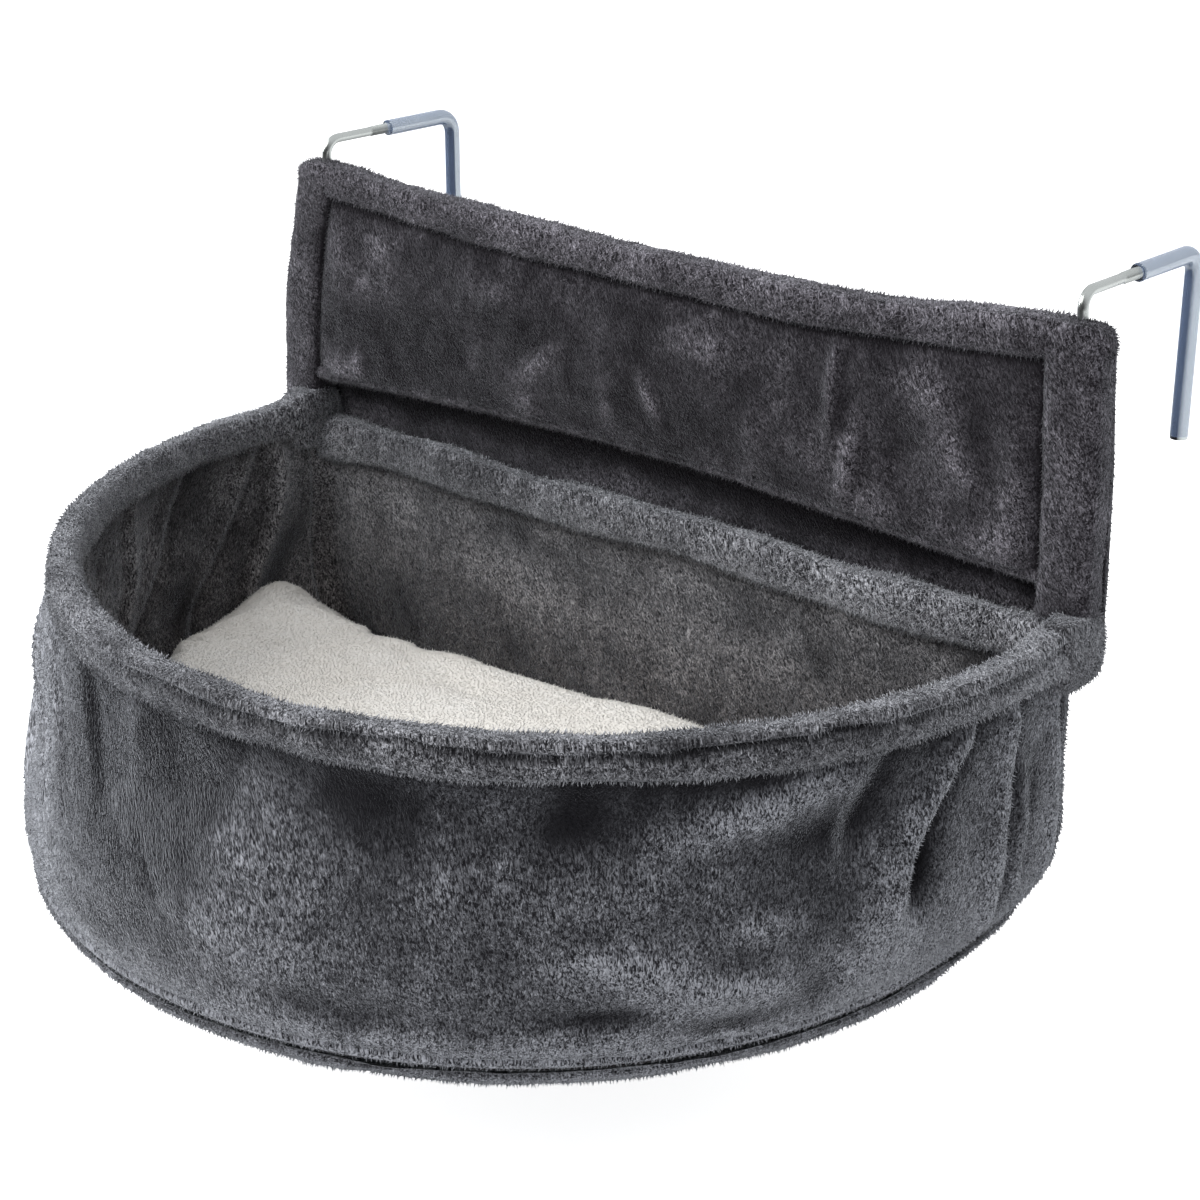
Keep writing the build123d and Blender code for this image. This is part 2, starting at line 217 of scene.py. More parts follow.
# The tent's bright side as metal mirrors it, how much more it counts to be high up, and the light's colour
# Ranges are from, to, and the levels there: of what metal mirrors, and of the even light with height
bright_side = Vector((0.25, 0.87, 0.0))
height_weight = 1.3
mirrored_range = (-0.3, 1.1, 0.06, 1.0)
even_range = (0.0, 1.0, 0.4, 1.25)
tent_color = (0.97, 0.98, 1, 1)


def make_world():
    """A light tent: even light, white to the camera, and dimmer on the camera's side for metal to mirror."""
    world = bpy.data.worlds.new("studio")
    bpy.context.scene.world = world
    world.use_nodes = True
    tree = world.node_tree
    tree.nodes.clear()
    where = add(tree, "ShaderNodeTexCoord").outputs["Generated"]
    height = add(tree, "ShaderNodeSeparateXYZ", inputs={0: where}).outputs["Z"]
    away = direction(tree, "DOT_PRODUCT", where, bright_side, "Value")
    open_side = number(tree, "ADD", away, number(tree, "MULTIPLY", height, height_weight))
    mirrored = ranged(tree, open_side, *mirrored_range, interpolation_type="SMOOTHSTEP")
    even = ranged(tree, height, *even_range)
    gloss = add(tree, "ShaderNodeLightPath").outputs["Is Glossy Ray"]
    level = add(tree, "ShaderNodeMix", data_type="FLOAT", inputs={0: gloss, 2: even, 3: mirrored}).outputs[0]
    soft = add(tree, "ShaderNodeBackground", inputs={"Color": tent_color, "Strength": level})
    plain = add(tree, "ShaderNodeBackground", inputs={"Color": (1, 1, 1, 1), "Strength": 1.0})
    mix = add(tree, "ShaderNodeMixShader", inputs={
        0: seen_plainly(tree, gloss=False), 1: soft.outputs[0], 2: plain.outputs[0]})
    add(tree, "ShaderNodeOutputWorld", inputs={0: mix.outputs[0]})


# The floor's half width, how far it lies under the bag, its colours, and how it dims towards the camera's side
floor_half = 6.0
floor_gap = 0.07
floor_color = (0.86, 0.86, 0.86)
floor_glow = (0.8, 0.8, 0.8, 1)
floor_away = (0.743, 0.669, 0.0)
floor_range = (-0.7, 0.9, 0.04, 0.85)


def make_floor():
    """A pale floor under the hanging bag, which keeps its shadow."""
    mesh = bpy.data.meshes.new("floor")
    corners = [(x * floor_half, y * floor_half, floor_low.z - floor_gap)
               for x, y in ((-1, -1), (1, -1), (1, 1), (-1, 1))]
    mesh.from_pydata(corners, [], [(0, 1, 2, 3)])
    floor = link("floor", mesh)
    material, tree = new_material("pale_floor")
    where = add(tree, "ShaderNodeTexCoord").outputs["Object"]
    across = direction(tree, "DOT_PRODUCT", where, floor_away, "Value")
    shade = ranged(tree, across, *floor_range, interpolation_type="SMOOTHSTEP")
    gloss = add(tree, "ShaderNodeLightPath").outputs["Is Glossy Ray"]
    tone = add(tree, "ShaderNodeMix", data_type="FLOAT", inputs={0: gloss, 2: 1.0, 3: shade}).outputs[0]
    matt = add(tree, "ShaderNodeBsdfDiffuse", inputs={"Color": direction(tree, "SCALE", floor_color, tone)})
    strength = number(tree, "MULTIPLY", seen_plainly(tree), tone)
    glow = add(tree, "ShaderNodeEmission", inputs={"Strength": strength, "Color": floor_glow})
    both = add(tree, "ShaderNodeAddShader", inputs={0: matt.outputs[0], 1: glow.outputs[0]})
    add(tree, "ShaderNodeOutputMaterial", inputs={0: both.outputs[0]})
    mesh.materials.append(material)


# Noise and meshes

# Large odd numbers that scramble a cell's place into a random value, and how far apart two seeds lie
cell_mix = (73856093, 19349663, 83492791)
value_mix = (2654435761, 2246822519)
seed_gap = 37.13


def soft_noise(points, size, seed):
    """Smooth noise from -1 to 1 at each point, with features of about that size."""
    scaled = np.asarray(points, float) / size + seed_gap * seed
    cell = np.floor(scaled).astype(np.int64)
    part = scaled - cell
    part = part * part * (3 - 2 * part)
    total = np.zeros(len(scaled))
    for corner in itertools.product((0, 1), repeat=3):
        key = (cell + corner) * cell_mix
        mixed = key[:, 0] ^ key[:, 1] ^ key[:, 2]
        mixed = (mixed * value_mix[0]) & 0xFFFFFFFF
        mixed = ((mixed ^ (mixed >> 15)) * value_mix[1]) & 0xFFFFFFFF
        value = ((mixed >> 8) & 0xFFFF) / 32767.5 - 1
        total += np.prod(np.where(corner, part, 1 - part), axis=1) * value
    return total


def link(name, mesh):
    """A new object for a mesh."""
    piece = bpy.data.objects.new(name, mesh)
    bpy.context.collection.objects.link(piece)
    return piece


def smooth(mesh):
    """Shades all faces smoothly."""
    mesh.polygons.foreach_set("use_smooth", [True] * len(mesh.polygons))


def grid_faces(rows, columns, wrap, start=0, turned=False):
    """The quads of a grid of points, which may close on itself across its columns."""
    faces = []
    for i in range(rows - 1):
        for j in range(columns if wrap else columns - 1):
            k = (j + 1) % columns
            low, high = start + i * columns, start + (i + 1) * columns
            quad = [low + j, low + k, high + k, high + j]
            faces.append(quad[::-1] if turned else quad)
    return faces


def mark(mesh, name, values):
    """A number for each of a mesh's points, or one for all."""
    spread = np.broadcast_to(np.ravel(values), len(mesh.vertices))
    mesh.attributes.new(name, "FLOAT", "POINT").data.foreach_set("value", spread.astype(np.float32))


def soft_piece(name, points, faces, pile_share, paint):
    """A closed soft piece, with how much pile each point bears and how much lighter or darker it is painted, which
    carries its painted light and shade.
    """
    mesh = bpy.data.meshes.new(name)
    mesh.from_pydata(points, [], faces)
    mark(mesh, "pile_share", pile_share)
    mark(mesh, "paint", paint)
    work = bmesh.new()
    work.from_mesh(mesh)
    bmesh.ops.remove_doubles(work, verts=work.verts, dist=0.02 * MM)
    bmesh.ops.recalc_face_normals(work, faces=work.faces)
    work.to_mesh(mesh)
    work.free()
    smooth(mesh)
    mesh.update()
    return link(name, mesh)


def cloth_shell(name, outer, inner, wrap=False, paint=0.0, inner_paint=None, inner_share=0.0):
    """A closed sheet of cloth from the grids of its two faces; the outer one carries the pile."""
    rows, columns = outer.shape[:2]
    count = rows * columns

    def both(*values):
        """Values for all points of the outer face, then of the inner one."""
        return np.concatenate([np.broadcast_to(np.ravel(value), count) for value in values])

    faces = grid_faces(rows, columns, wrap) + grid_faces(rows, columns, wrap, count, True)
    rims = [[i * columns + j for j in range(columns)] for i in (0, rows - 1)]
    if wrap:
        rims = [rim + rim[:1] for rim in rims]
    else:
        rims += [[i * columns + j for i in range(rows)] for j in (0, columns - 1)]
    for rim in rims:
        faces += [(a, b, b + count, a + count) for a, b in zip(rim, rim[1:])]
    points = np.concatenate([outer.reshape(-1, 3), inner.reshape(-1, 3)])
    return soft_piece(name, points, faces, both(1.0, inner_share),
                      both(paint, paint if inner_paint is None else inner_paint))


def roll(name, rings, paint=0.0):
    """A closed roll through rings of points, its ends closed by a point each."""
    rings = np.array(rings)
    stations, columns = rings.shape[:2]
    points = np.concatenate([rings.reshape(-1, 3), rings[:1].mean(1), rings[-1:].mean(1)])
    faces = grid_faces(stations, columns, True)
    first, last = len(points) - 2, len(points) - 1
    tail = (stations - 1) * columns
    for j in range(columns):
        k = (j + 1) % columns
        faces += [(first, k, j), (last, tail + j, tail + k)]
    paint = np.append(np.broadcast_to(np.ravel(paint), stations * columns), [0.0, 0.0])
    return soft_piece(name, points, faces, 1.0, paint)


def read_rows(items, key):
    """Three numbers for each of a mesh's items, as rows."""
    flat = np.empty(len(items) * 3)
    items.foreach_get(key, flat)
    return flat.reshape(-1, 3)


def coordinates(mesh):
    """The places of a mesh's points."""
    return read_rows(mesh.vertices, "co")


def normals(mesh):
    """The outward directions at a mesh's points."""
    return read_rows(mesh.vertex_normals, "vector")


def move(mesh, points):
    """Puts a mesh's points in new places."""
    mesh.vertices.foreach_set("co", np.ravel(points))
    mesh.update()


def make_plain(piece):
    """Takes what a piece's modifiers make as its own mesh."""
    evaluated = piece.evaluated_get(bpy.context.evaluated_depsgraph_get())
    mesh = bpy.data.meshes.new_from_object(evaluated)
    piece.modifiers.clear()
    piece.data = mesh


def ruffle(piece, waves):
    """Moves the points in and out by noise; each wave is a feature size, a height and a seed."""
    points = coordinates(piece.data)
    height = np.zeros(len(points))
    for size, tall, seed in waves:
        height += tall * soft_noise(points, size, seed)
    move(piece.data, points + normals(piece.data) * height[:, None])


# Brushed patches of painted sheen and shade, and soft dents


def strokes_at(across, up, strokes):
    """How much lighter with painted sheen and darker with painted shade, and how much prouder, a set of soft strokes
    makes each place of a cloth.
    """
    tone, lift = np.zeros(np.shape(across)), np.zeros(np.shape(across))
    for middle_across, middle_up, half_across, half_up, tilt, shade, height in strokes:
        x, y = across - middle_across * MM, up - middle_up * MM
        turn = radians(tilt)
        along = (x * cos(turn) + y * sin(turn)) / (half_across * MM)
        over = (y * cos(turn) - x * sin(turn)) / (half_up * MM)
        weight = np.exp(-along ** 2 - over ** 2)
        tone += shade * weight
        lift += height * MM * weight
    return tone, lift


# Strokes in mm: middle across and up, half lengths, tilt in degrees, lighter with painted sheen or darker with painted
# shade, prouder or deeper
# On the bag's wall, across runs from the right seam to the left one, and up is the depth below the rim
wall_strokes = [
    (532, 50, 34, 90, 0, 0.75, 0), (412, 44, 40, 40, 0, -0.44, 0), (4, 60, 12, 60, 0, 0.18, 0),
    (462, 18, 12, 16, 0, -0.20, 0), (446, 12, 14, 18, 0, -0.30, -2),
    (418, 10, 7, 14, 0, 0.20, 2), (392, 8, 13, 14, 0, -0.28, -3), (380, 28, 24, 9, 10, -0.22, -1),
    (362, 40, 22, 12, 0, 0.12, 2), (300, 14, 34, 13, 0, -0.26, -3), (325, 86, 55, 7, 0, -0.22, -2),
    (444, 86, 14, 8, 0, -0.18, 0), (222, 16, 20, 16, 0, -0.28, -3), (174, 5, 24, 8, 0, -0.22, -2),
    (156, 17, 34, 7, 14, 0.44, 3), (132, 29, 22, 9, 14, -0.24, -3), (196, 41, 24, 9, 0, 0.18, 2),
    (182, 80, 22, 6, 0, 0.60, 3), (214, 67, 20, 6, -12, 0.44, 3), (224, 84, 26, 5, 0, -0.34, -3),
    (172, 94, 26, 4, 0, -0.38, -2), (140, 86, 10, 8, 0, -0.28, -2), (162, 58, 18, 6, 0, 0.30, 1),
    (112, 76, 20, 16, 0, 0.36, 2), (92, 50, 7, 16, 0, -0.40, -4), (97, 34, 5, 9, 0, 0.30, 1),
    (400, 60, 60, 18, 0, 0.06, 3), (265, 45, 40, 16, 0, 0.04, 3),
]
# How much stronger the wall's strokes are painted than the list gives
wall_stroke_gain = 1.35

# On the panel, across and up are places along the radiator and in height
panel_strokes = [
    (-196, -107, 9, 9, 0, 0.42, 1), (-184, -101, 4, 9, 0, 0.40, 1), (-195, -48, 10, 16, 0, 0.26, 2),
    (-178, -60, 8, 10, 0, 0.16, 0), (-168, -42, 8, 7, 0, 0.18, 0), (-92, -48, 18, 7, -10, 0.20, 1),
    (-105, -82, 5, 8, 0, 0.26, 0), (-60, -74, 18, 5, 40, 0.30, 1), (-70, -98, 8, 6, 0, 0.30, 1),
    (-22, -88, 4, 11, 10, 0.24, 0), (4, -78, 4, 12, 25, 0.38, 1), (30, -50, 16, 6, 0, 0.16, 1),
    (62, -80, 5, 14, 0, 0.16, 1), (103, -52, 3, 20, 0, 0.20, 3), (112, -84, 4, 16, -10, 0.28, 3),
    (124, -100, 12, 7, 0, 0.26, 1), (152, -46, 12, 8, -30, 0.24, 2), (166, -72, 12, 6, -50, 0.22, 1),
    (186, -100, 12, 9, 30, 0.30, 2), (140, -75, 12, 16, 0, -0.05, -2), (150, -85, 50, 30, 0, 0.08, 0),
    (-150, -75, 70, 40, 0, -0.06, 0), (-140, -80, 26, 16, 0, -0.10, -1), (192, -70, 7, 26, 0, 0.12, 2),
]
lining_strokes = [
    (-198, -200, 22, 50, 0, 0.22, 0), (-192, -176, 11, 22, 0, 0.16, 0), (-186, -214, 9, 12, 0, 0.12, 0),
    (-170, -168, 26, 9, -8, 0.26, 0), (-110, -192, 40, 10, -8, 0.22, 0), (-180, -218, 22, 16, 0, -0.22, 0),
    (-30, -196, 50, 9, -8, 0.24, 0), (60, -186, 60, 8, -6, 0.26, 0), (-60, -170, 40, 6, -5, -0.16, 0),
    (110, -168, 50, 6, -5, -0.14, 0), (10, -226, 50, 12, 0, 0.05, 0),
]


# Outlines of the bag

# Folds in the walls: place at the top and where the fold ends, first and last share of the depth, height, width
right_folds = [
    (64, 106, -0.3, 0.72, 9, 15), (38, 55, -0.3, 1.1, 8, 13), (19, 34, 0.3, 1.1, 4, 9),
    (110, 132, -0.3, 0.45, 3, 14), (5, 6, -0.3, 1.1, 3, 8),
]
left_folds = [
    (551, 505, -0.3, 0.66, 2.6, 8), (512, 476, -0.3, 0.62, 2.8, 8), (471, 447, -0.3, 0.5, 2, 9),
    (590, 560, -0.3, 0.8, 4, 12), (640, 634, -0.2, 0.9, 5, 14), (700, 706, -0.2, 1.0, 5, 15),
    (745, 752, -0.3, 1.1, 4, 10),
]
lining_folds = [
    (592, 640, -0.2, 0.7, -5, 9), (650, 690, -0.2, 0.95, -5, 9), (750, 790, -0.2, 1.1, -8, 11),
    (64, 106, -0.3, 0.72, 6, 15), (38, 55, -0.3, 1.1, 5, 13),
]
# How gently a fold rises and how steeply it falls, how round its crest is and what that takes off its height,
# and its hollow's depth, place and width
fold_slopes = (0.62, 0.24)
fold_round, fold_lost = 0.012, 0.11
hollow_share, hollow_at, hollow_wide = 0.7, -0.62, 0.42


def bag_size(share):
    """Radius, centre and height of the bag's outline at a share of its depth."""
    bulge = belly * to_fullest * share ** 3 * (1 - share)
    radius = top_radius + (base_radius - top_radius) * share + bulge
    centre_y = hoop_y + (base_y - hoop_y) * share
    top = wall_high.z + wall_in_rim
    return radius, centre_y, top + (wall_low.z - top) * share


def tuck(share, behind):
    """How far the bag draws in at its rear corners towards the base, at a share of the way back."""
    return tucked * share ** 3 * behind ** 2


def around_front(share, along, inset=0.0):
    """Points on the half-round wall, their outward directions and their distances from the right seam."""
    radius, centre_y, z = bag_size(share)
    run = seam_y - centre_y
    distance = along * (2 * run + pi * radius)
    angle = np.clip((distance - run) / radius, 0, pi)
    behind = np.maximum(run - distance, 0) + np.maximum(distance - run - pi * radius, 0)
    out = np.stack([np.cos(angle), -np.sin(angle), np.zeros_like(angle)], -1)
    middle = np.stack([np.zeros_like(angle), centre_y + behind, z], -1)
    on_left = unit((distance - 440 * MM) / (90 * MM)) * unit((along - 1) / -0.08)
    spread = left_spread * bell(share, 0.2, 0.22) * on_left
    drawn = radius - inset - tuck(share, behind / run) + spread
    return middle + out * drawn[..., None], out, distance


def folds_at(distance, share, folds):
    """How far the folds lift the wall at a place: gently up to a crest, then steeply down into a hollow."""
    height = np.zeros(np.shape(share))
    for start, end, first, last, tall, wide in folds:
        swing = np.sin(pi / 2 * unit(share / last))
        off = (distance - (start + (end - start) * swing) * MM) / (wide * MM)
        reach = (share - (first + last) / 2) / ((last - first) / 2)
        fade = unit(1 - reach ** 4)
        slope = np.where(off > 0, *fold_slopes)
        crest = np.exp(-(np.sqrt(off ** 2 + fold_round) - fold_lost) / slope)
        height += fade * tall * MM * (crest - hollow_share * bell(off, hollow_at, hollow_wide))
    return height


def d_outline(radius, centre_y, back_y, corner, step, drawn=0.0):
    """Points round a straight back, rounded back corners, straight sides and a half-round front."""
    run = back_y - corner - centre_y
    right = [(radius - drawn - corner + corner * sin(angle), back_y - corner + corner * cos(angle))
             for angle in np.arange(0, pi / 2, step / corner)]
    right += [(radius - drawn * ((y - centre_y) / run) ** 2, y)
              for y in np.arange(back_y - corner, centre_y, -step)]
    right += [(radius * cos(a), centre_y - radius * sin(a)) for a in np.arange(0, pi / 2, step / radius)]
    left = [(-x, y) for x, y in right[::-1]]
    flat = radius - drawn - corner
    back = [(x, back_y) for x in np.arange(-flat + step, flat, step)]
    return right + [(0.0, centre_y - radius)] + left + back


# Where the cloth's painted light and shade change, in mm from the wall's right seam, and over what run: painted shade
# behind the lining's last fold, lighter beside its left seam, and painted light on the wall's right side towards its
# base
last_fold, last_fold_run = 798, 9
left_seam, left_seam_run = 805, 8
light_side, light_side_run = 520, 120


def front_wall(name, inset, thickness, is_lining):
    """The half-round wall, or its lining, with its folds."""
    rows, columns = int(wall_height / cloth_step), int(wall_run / cloth_step)
    share, along = np.meshgrid(np.linspace(0, 1, rows + 1), np.linspace(0, 1, columns + 1), indexing="ij")
    depth = share * wall_height
    faces = []
    for layer in (inset, inset + thickness):
        place, out, distance = around_front(share, along, layer)
        tone, lift = strokes_at(distance, depth, wall_strokes)
        fold = folds_at(distance, share, right_folds + left_folds)
        inward = np.minimum(folds_at(distance, share, lining_folds), 0) * is_lining
        sewn = unit(0.35 + 9 * share) * unit(0.3 + 5 * (1 - share))
        faces.append(place + out * ((fold + lift + inward) * sewn)[..., None])
    tone = tone * wall_stroke_gain
    # Painted shade just under the rim, on the wall and on its lining.
    shade_under_rim = -0.3 * bell(depth, 0, 8 * MM)
    if is_lining:
        # The lining's painted shade behind its last fold, lighter past its left seam, painted shade at its right end,
        # painted shade in the hollows of the wall's folds and painted light on the crests of its own, and the wall's
        # strokes reversed and weaker.
        shade_behind_fold = -0.35 * bell(distance, last_fold * MM, last_fold_run * MM)
        beside_seam = 0.22 * unit((distance - left_seam * MM) / (left_seam_run * MM)) - 0.3 * bell(along, 0, 0.01)
        hollow_shade_and_crest_light = -0.03 * unit(fold) / MM - 0.07 * inward / MM
        return cloth_shell(name, faces[1], faces[0], paint=shade_under_rim + shade_behind_fold + beside_seam + hollow_shade_and_crest_light - 0.3 * tone)
    # The wall's painted light towards its base, more on its right side, and painted highlights on its fold crests with
    # painted shade in their hollows.
    from_right = unit((light_side * MM - distance) / (light_side_run * MM))
    painted_light_near_base = 0.6 * unit((share - 0.88) / 0.12) + 0.42 * unit((share - 0.5) / 0.3) * from_right
    crest = np.clip(fold, -5 * MM, 9 * MM) / MM
    crest_highlight_and_hollow_shade = np.where(crest > 0, 0.06, 0.085) * crest
    return cloth_shell(name, faces[0], faces[1], paint=1.6 * tone + shade_under_rim + painted_light_near_base + crest_highlight_and_hollow_shade)


def rear_wall(name, inset, thickness, piled_outside, strokes):
    """The straight wall behind, with its rounded ends, or its lining."""
    rows = int((rear_high.z - wall_low.z) / cloth_step)
    faces = []
    for layer in (inset, inset + thickness):
        rings = []
        for share in np.linspace(0, 1, rows + 1):
            radius, _, z = bag_size(share)
            corner = bag_corner - layer
            back, half = rear_y - layer, radius - layer - tuck(share, 1.0)
            turn = [(half - corner + corner * cos(a), back - corner + corner * sin(a))
                    for a in np.linspace(0, pi / 2, 8)]
            straight = [(x, back) for x in np.linspace(half - corner, -(half - corner), 150)[1:-1]]
            rings.append([(x, y, z) for x, y in turn + straight + [(-x, y) for x, y in turn[::-1]]])
        faces.append(np.array(rings))
    outer, inner = faces if piled_outside else faces[::-1]
    tone, _ = strokes_at(outer[..., 0], outer[..., 2], strokes)
    # Painted shade at the lining's right end.
    from_end = np.maximum(rear_high.x - 12 * MM - np.abs(outer[..., 0]), 0)
    shade_at_lining_end = -0.3 * bell(from_end, 0, 5 * MM) * (not piled_outside) * (outer[..., 0] > 0)
    return cloth_shell(name, outer, inner, paint=tone + shade_at_lining_end)


# The floor's rounded edge: run inwards in mm, and share of the fall
dish_edge = [(0.0, 0.0), (1.5, 0.3), (4.5, 0.62), (9.0, 0.86), (14.0, 0.97), (20.0, 1.0)]


def dish(name, rise, inset, thickness, piled_below):
    """The bag's floor, or its lining: a shallow dish with a rounded edge."""
    edge_z, bottom = welt_low.z, floor_low.z + rise
    pivot = base_y + 0.35 * base_radius
    outline = d_outline(base_radius, base_y, rear_y, 2 * bag_corner, 5 * MM, tuck(1.0, 1.0))
    faces = []
    for extra in (0.0, thickness):
        rings = [(base_radius - (inset + extra + run * MM), edge_z + (bottom + extra - edge_z) * fall)
                 for run, fall in dish_edge]
        flat = base_radius - inset - extra - dish_edge[-1][0] * MM
        rings += [(flat * share, bottom + extra) for share in np.linspace(0.96, 0.02, 44)]
        rings = [(radius / base_radius, z) for radius, z in rings]
        faces.append(np.array([[(x * share, pivot + (y - pivot) * share, z) for x, y in outline]
                               for share, z in rings]))
    outer, inner = faces if piled_below else faces[::-1]
    return cloth_shell(name, outer, inner, wrap=True)


# Rolled edges


def rounded_profile(width, height, power=0.72, points=34):
    """A closed rounded outline, as offsets outwards and upwards."""
    angles = np.linspace(0, tau, points, endpoint=False)
    across = np.sign(np.cos(angles)) * np.abs(np.cos(angles)) ** power * width / 2
    up = np.sign(np.sin(angles)) * np.abs(np.sin(angles)) ** power * height / 2
    return across, up


# Where the rim's crease lies on its outer face, its depth and its width
crease_up, crease_deep, crease_wide = 2.8 * MM, 3.0 * MM, 1.1 * MM
# The rim's ends, thickened into the corners: where that starts, over what run, and how far they shift in
rim_end_y, rim_end_run, rim_end_shift = -0.088, 0.022, 2 * MM


def rim_line(step):
    """Places and outward directions along the hoop, from the right corner round to the left."""
    start = rim_high.y + 22 * MM
    side = [(Vector((hoop_radius, y, hoop_z)), Vector((1, 0, 0))) for y in np.arange(start, hoop_y, -step)]
    front = []
    for angle in np.linspace(0, pi, int(pi * hoop_radius / step)):
        out = Vector((cos(angle), -sin(angle), 0))
        front.append((Vector((0, hoop_y, hoop_z)) + out * hoop_radius, out))
    left = [(Vector((-p.x, p.y, p.z)), Vector((-1, 0, 0))) for p, _ in side[::-1]]
    return side + front + left


def make_rim():
    """The folded rim round the hoop, with its stitched crease and its fluffy lip."""
    width, height = 14 * MM, 16.5 * MM
    across, up = rounded_profile(width, height, 0.62)
    shift = (rim_width - width) / 2 - 0.5 * MM
    drop = -2.4 * MM
    run = pi * hoop_radius + 2 * (rim_high.y - hoop_y)
    rings, paint = [], []
    for index, (place, out) in enumerate(rim_line(cloth_step)):
        travel = index * cloth_step
        sway = soft_noise([[travel, 0, 0], [travel, 5, 0], [travel, 9, 0]], 40 * MM, 3)
        ripple = soft_noise([[travel, 3, 0], [travel, 7, 0], [travel, 8, 0]], 11 * MM, 5)
        crease_z = crease_up + 3.0 * MM * sway[0] + 1.6 * MM * ripple[0]
        near_end = unit((place.y - rim_end_y) / rim_end_run)
        fat = (1 + 0.05 * sway[1] + 0.04 * ripple[1]) * (1 + 0.26 * near_end)
        crease = bell(up, crease_z, crease_wide) * (across > 0)
        outward = across * fat + shift - rim_end_shift * near_end - crease_deep * crease
        upward = up * fat + drop + 1.0 * MM * sway[2]
        rings.append([place + out * a + Vector((0, 0, b)) for a, b in zip(outward, upward)])
        share = travel / run
        # The rim is painted lighter at its far right end and darker at the front left, with painted light on the lip
        # above the crease and painted shade in the crease and on its underside.
        level = 0.22 * bell(share, 0, 0.14) - 0.16 * bell(share, 0.6, 0.13)
        lip = (up > crease_z) * (across > -2 * MM) * (0.10 + 0.16 * ripple[2])
        paint.append(level - (0.55 + 0.45 * sway[1]) * crease + lip - 0.08 * (up < -7 * MM))
    return roll("rim_channel_cloth", rings, paint)


def make_rear_roll():
    """The rolled rear edge, a little slack at its left end."""
    across, up = rounded_profile(15 * MM, 20 * MM)
    middle = (roll_low + roll_high) / 2
    past_end = 6 * MM
    rings, paint = [], []
    for x in np.arange(roll_low.x - past_end, roll_high.x + past_end, cloth_step):
        share = (x - roll_low.x) / (roll_high.x - roll_low.x)
        drop = -6 * MM * max(0.0, 1 - share) ** 1.6 + 1.2 * MM * sin(14 * share)
        fat = 1 + 0.05 * sin(31 * share + 1) + 0.15 * max(0.0, 1 - min(share, 1 - share) / 0.05)
        rings.append([(x, middle.y + a * fat, middle.z + b * fat + drop) for a, b in zip(across, up)])
        shade = 0.46 * share ** 2 + 0.08 * sin(9 * share + 2.4)
        # Painted shade under the roll and on its side towards the wall.
        paint.append(shade - 0.45 * (up < -8.5 * MM) - 0.1 * (across > 0))
    return roll("rear_roll_cloth", rings, paint)


def panel_edge(side, z):
    """The middle of a side channel at a height: the rim pulls the left one out, the right one hangs in."""
    share = (z - hoop_z) / (arm_z - hoop_z)
    if side < 0:
        pull = 8 * MM * sin(pi / 2 * unit((channel_high.z - 9 * MM - z) / (75 * MM)))
    else:
        pull = -5.5 * MM * unit((channel_high.z - z) / 0.12) ** 1.5
    return side * (foot_x + (hook_x - foot_x) * share + pull)


def panel_sag(x):
    """How far the panel's top edge hangs at a place along it."""
    return -8 * MM * (1 - min(1.0, abs(x) / 0.2) ** 2) - 2.2 * MM * bell(x, 0.09, 0.06)


def make_side_channel(side, name):
    """The padded channel over an upright."""
    deep = channel_high.y - channel_low.y
    half = (channel_high.x - channel_low.x) / 2 - 4.5 * MM
    across, depth = rounded_profile(2 * half, deep, 0.6, 36)
    y = (channel_low.y + channel_high.y) / 2
    top, bottom = channel_high.z, channel_low.z - 6 * MM
    round_top = 6 * MM
    levels = list(np.arange(bottom, top - round_top, cloth_step))
    levels += [top - round_top + round_top * sin(a) for a in np.linspace(0, pi / 2, 5)]
    rings, paint = [], []
    for z in levels:
        over = max(0.0, z - (top - round_top)) / round_top
        narrow = 1 - (1 - sqrt(max(0.0, 1 - over * over))) * round_top / half
        centre = panel_edge(side, z)
        rings.append([(centre + a * narrow, y + d * narrow, z) for a, d in zip(across, depth)])
        # Painted shade along the channel's inner edge by the seam, and lighter towards its top.
        paint.append(-0.2 * (side * across < -half + 2 * MM) + 0.2 * max(0.0, 1 - (top - z) / (22 * MM)))
    return roll(name + "_panel_channel_cloth", rings, paint)


def make_top_channel():
    """The rolled top edge of the panel, on over the tops of the side channels."""
    across, up = rounded_profile(top_high.y - top_low.y + 1 * MM, 16 * MM, 0.6)
    y = (top_low.y + top_high.y) / 2
    reach, round_end = hook_x + 16 * MM, 8 * MM
    rings, paint = [], []
    for x in np.arange(-reach, reach + cloth_step, cloth_step):
        z = channel_high.z - 8 * MM + panel_sag(x)
        end = max(0.0, abs(x) - reach + round_end) / round_end
        narrow = sqrt(max(0.1, 1 - end * end))
        fat = 1 + 0.03 * soft_noise([[x, 0, 0]], 30 * MM, 8)[0]
        rings.append([(x, y + a * narrow, z + b * narrow * fat) for a, b in zip(across, up)])
        # Painted shade on the channel's underside and painted light on its top.
        paint.append(-0.4 * (up < -6.5 * MM) + 0.12 * (up > 2 * MM))
    return roll("panel_top_channel_cloth", rings, paint)


def hem_z(x):
    """The height of the panel's folded lower edge."""
    return hem_low.z + 4.5 * MM + 8 * MM * (1 - (x / 0.21) ** 2)


def make_hem():
    """The soft folded lower edge of the panel."""
    across, up = rounded_profile(9 * MM, 9 * MM, 1.0, 20)
    y = (hem_low.y + hem_high.y) / 2
    left, right = panel_edge(-1, hem_low.z) + 5 * MM, panel_edge(1, hem_low.z) - 4 * MM
    rings = [[(x, y + a, hem_z(x) + b) for a, b in zip(across, up)] for x in np.arange(left, right, cloth_step)]
    return roll("panel_hem_cloth", rings, 0.05)


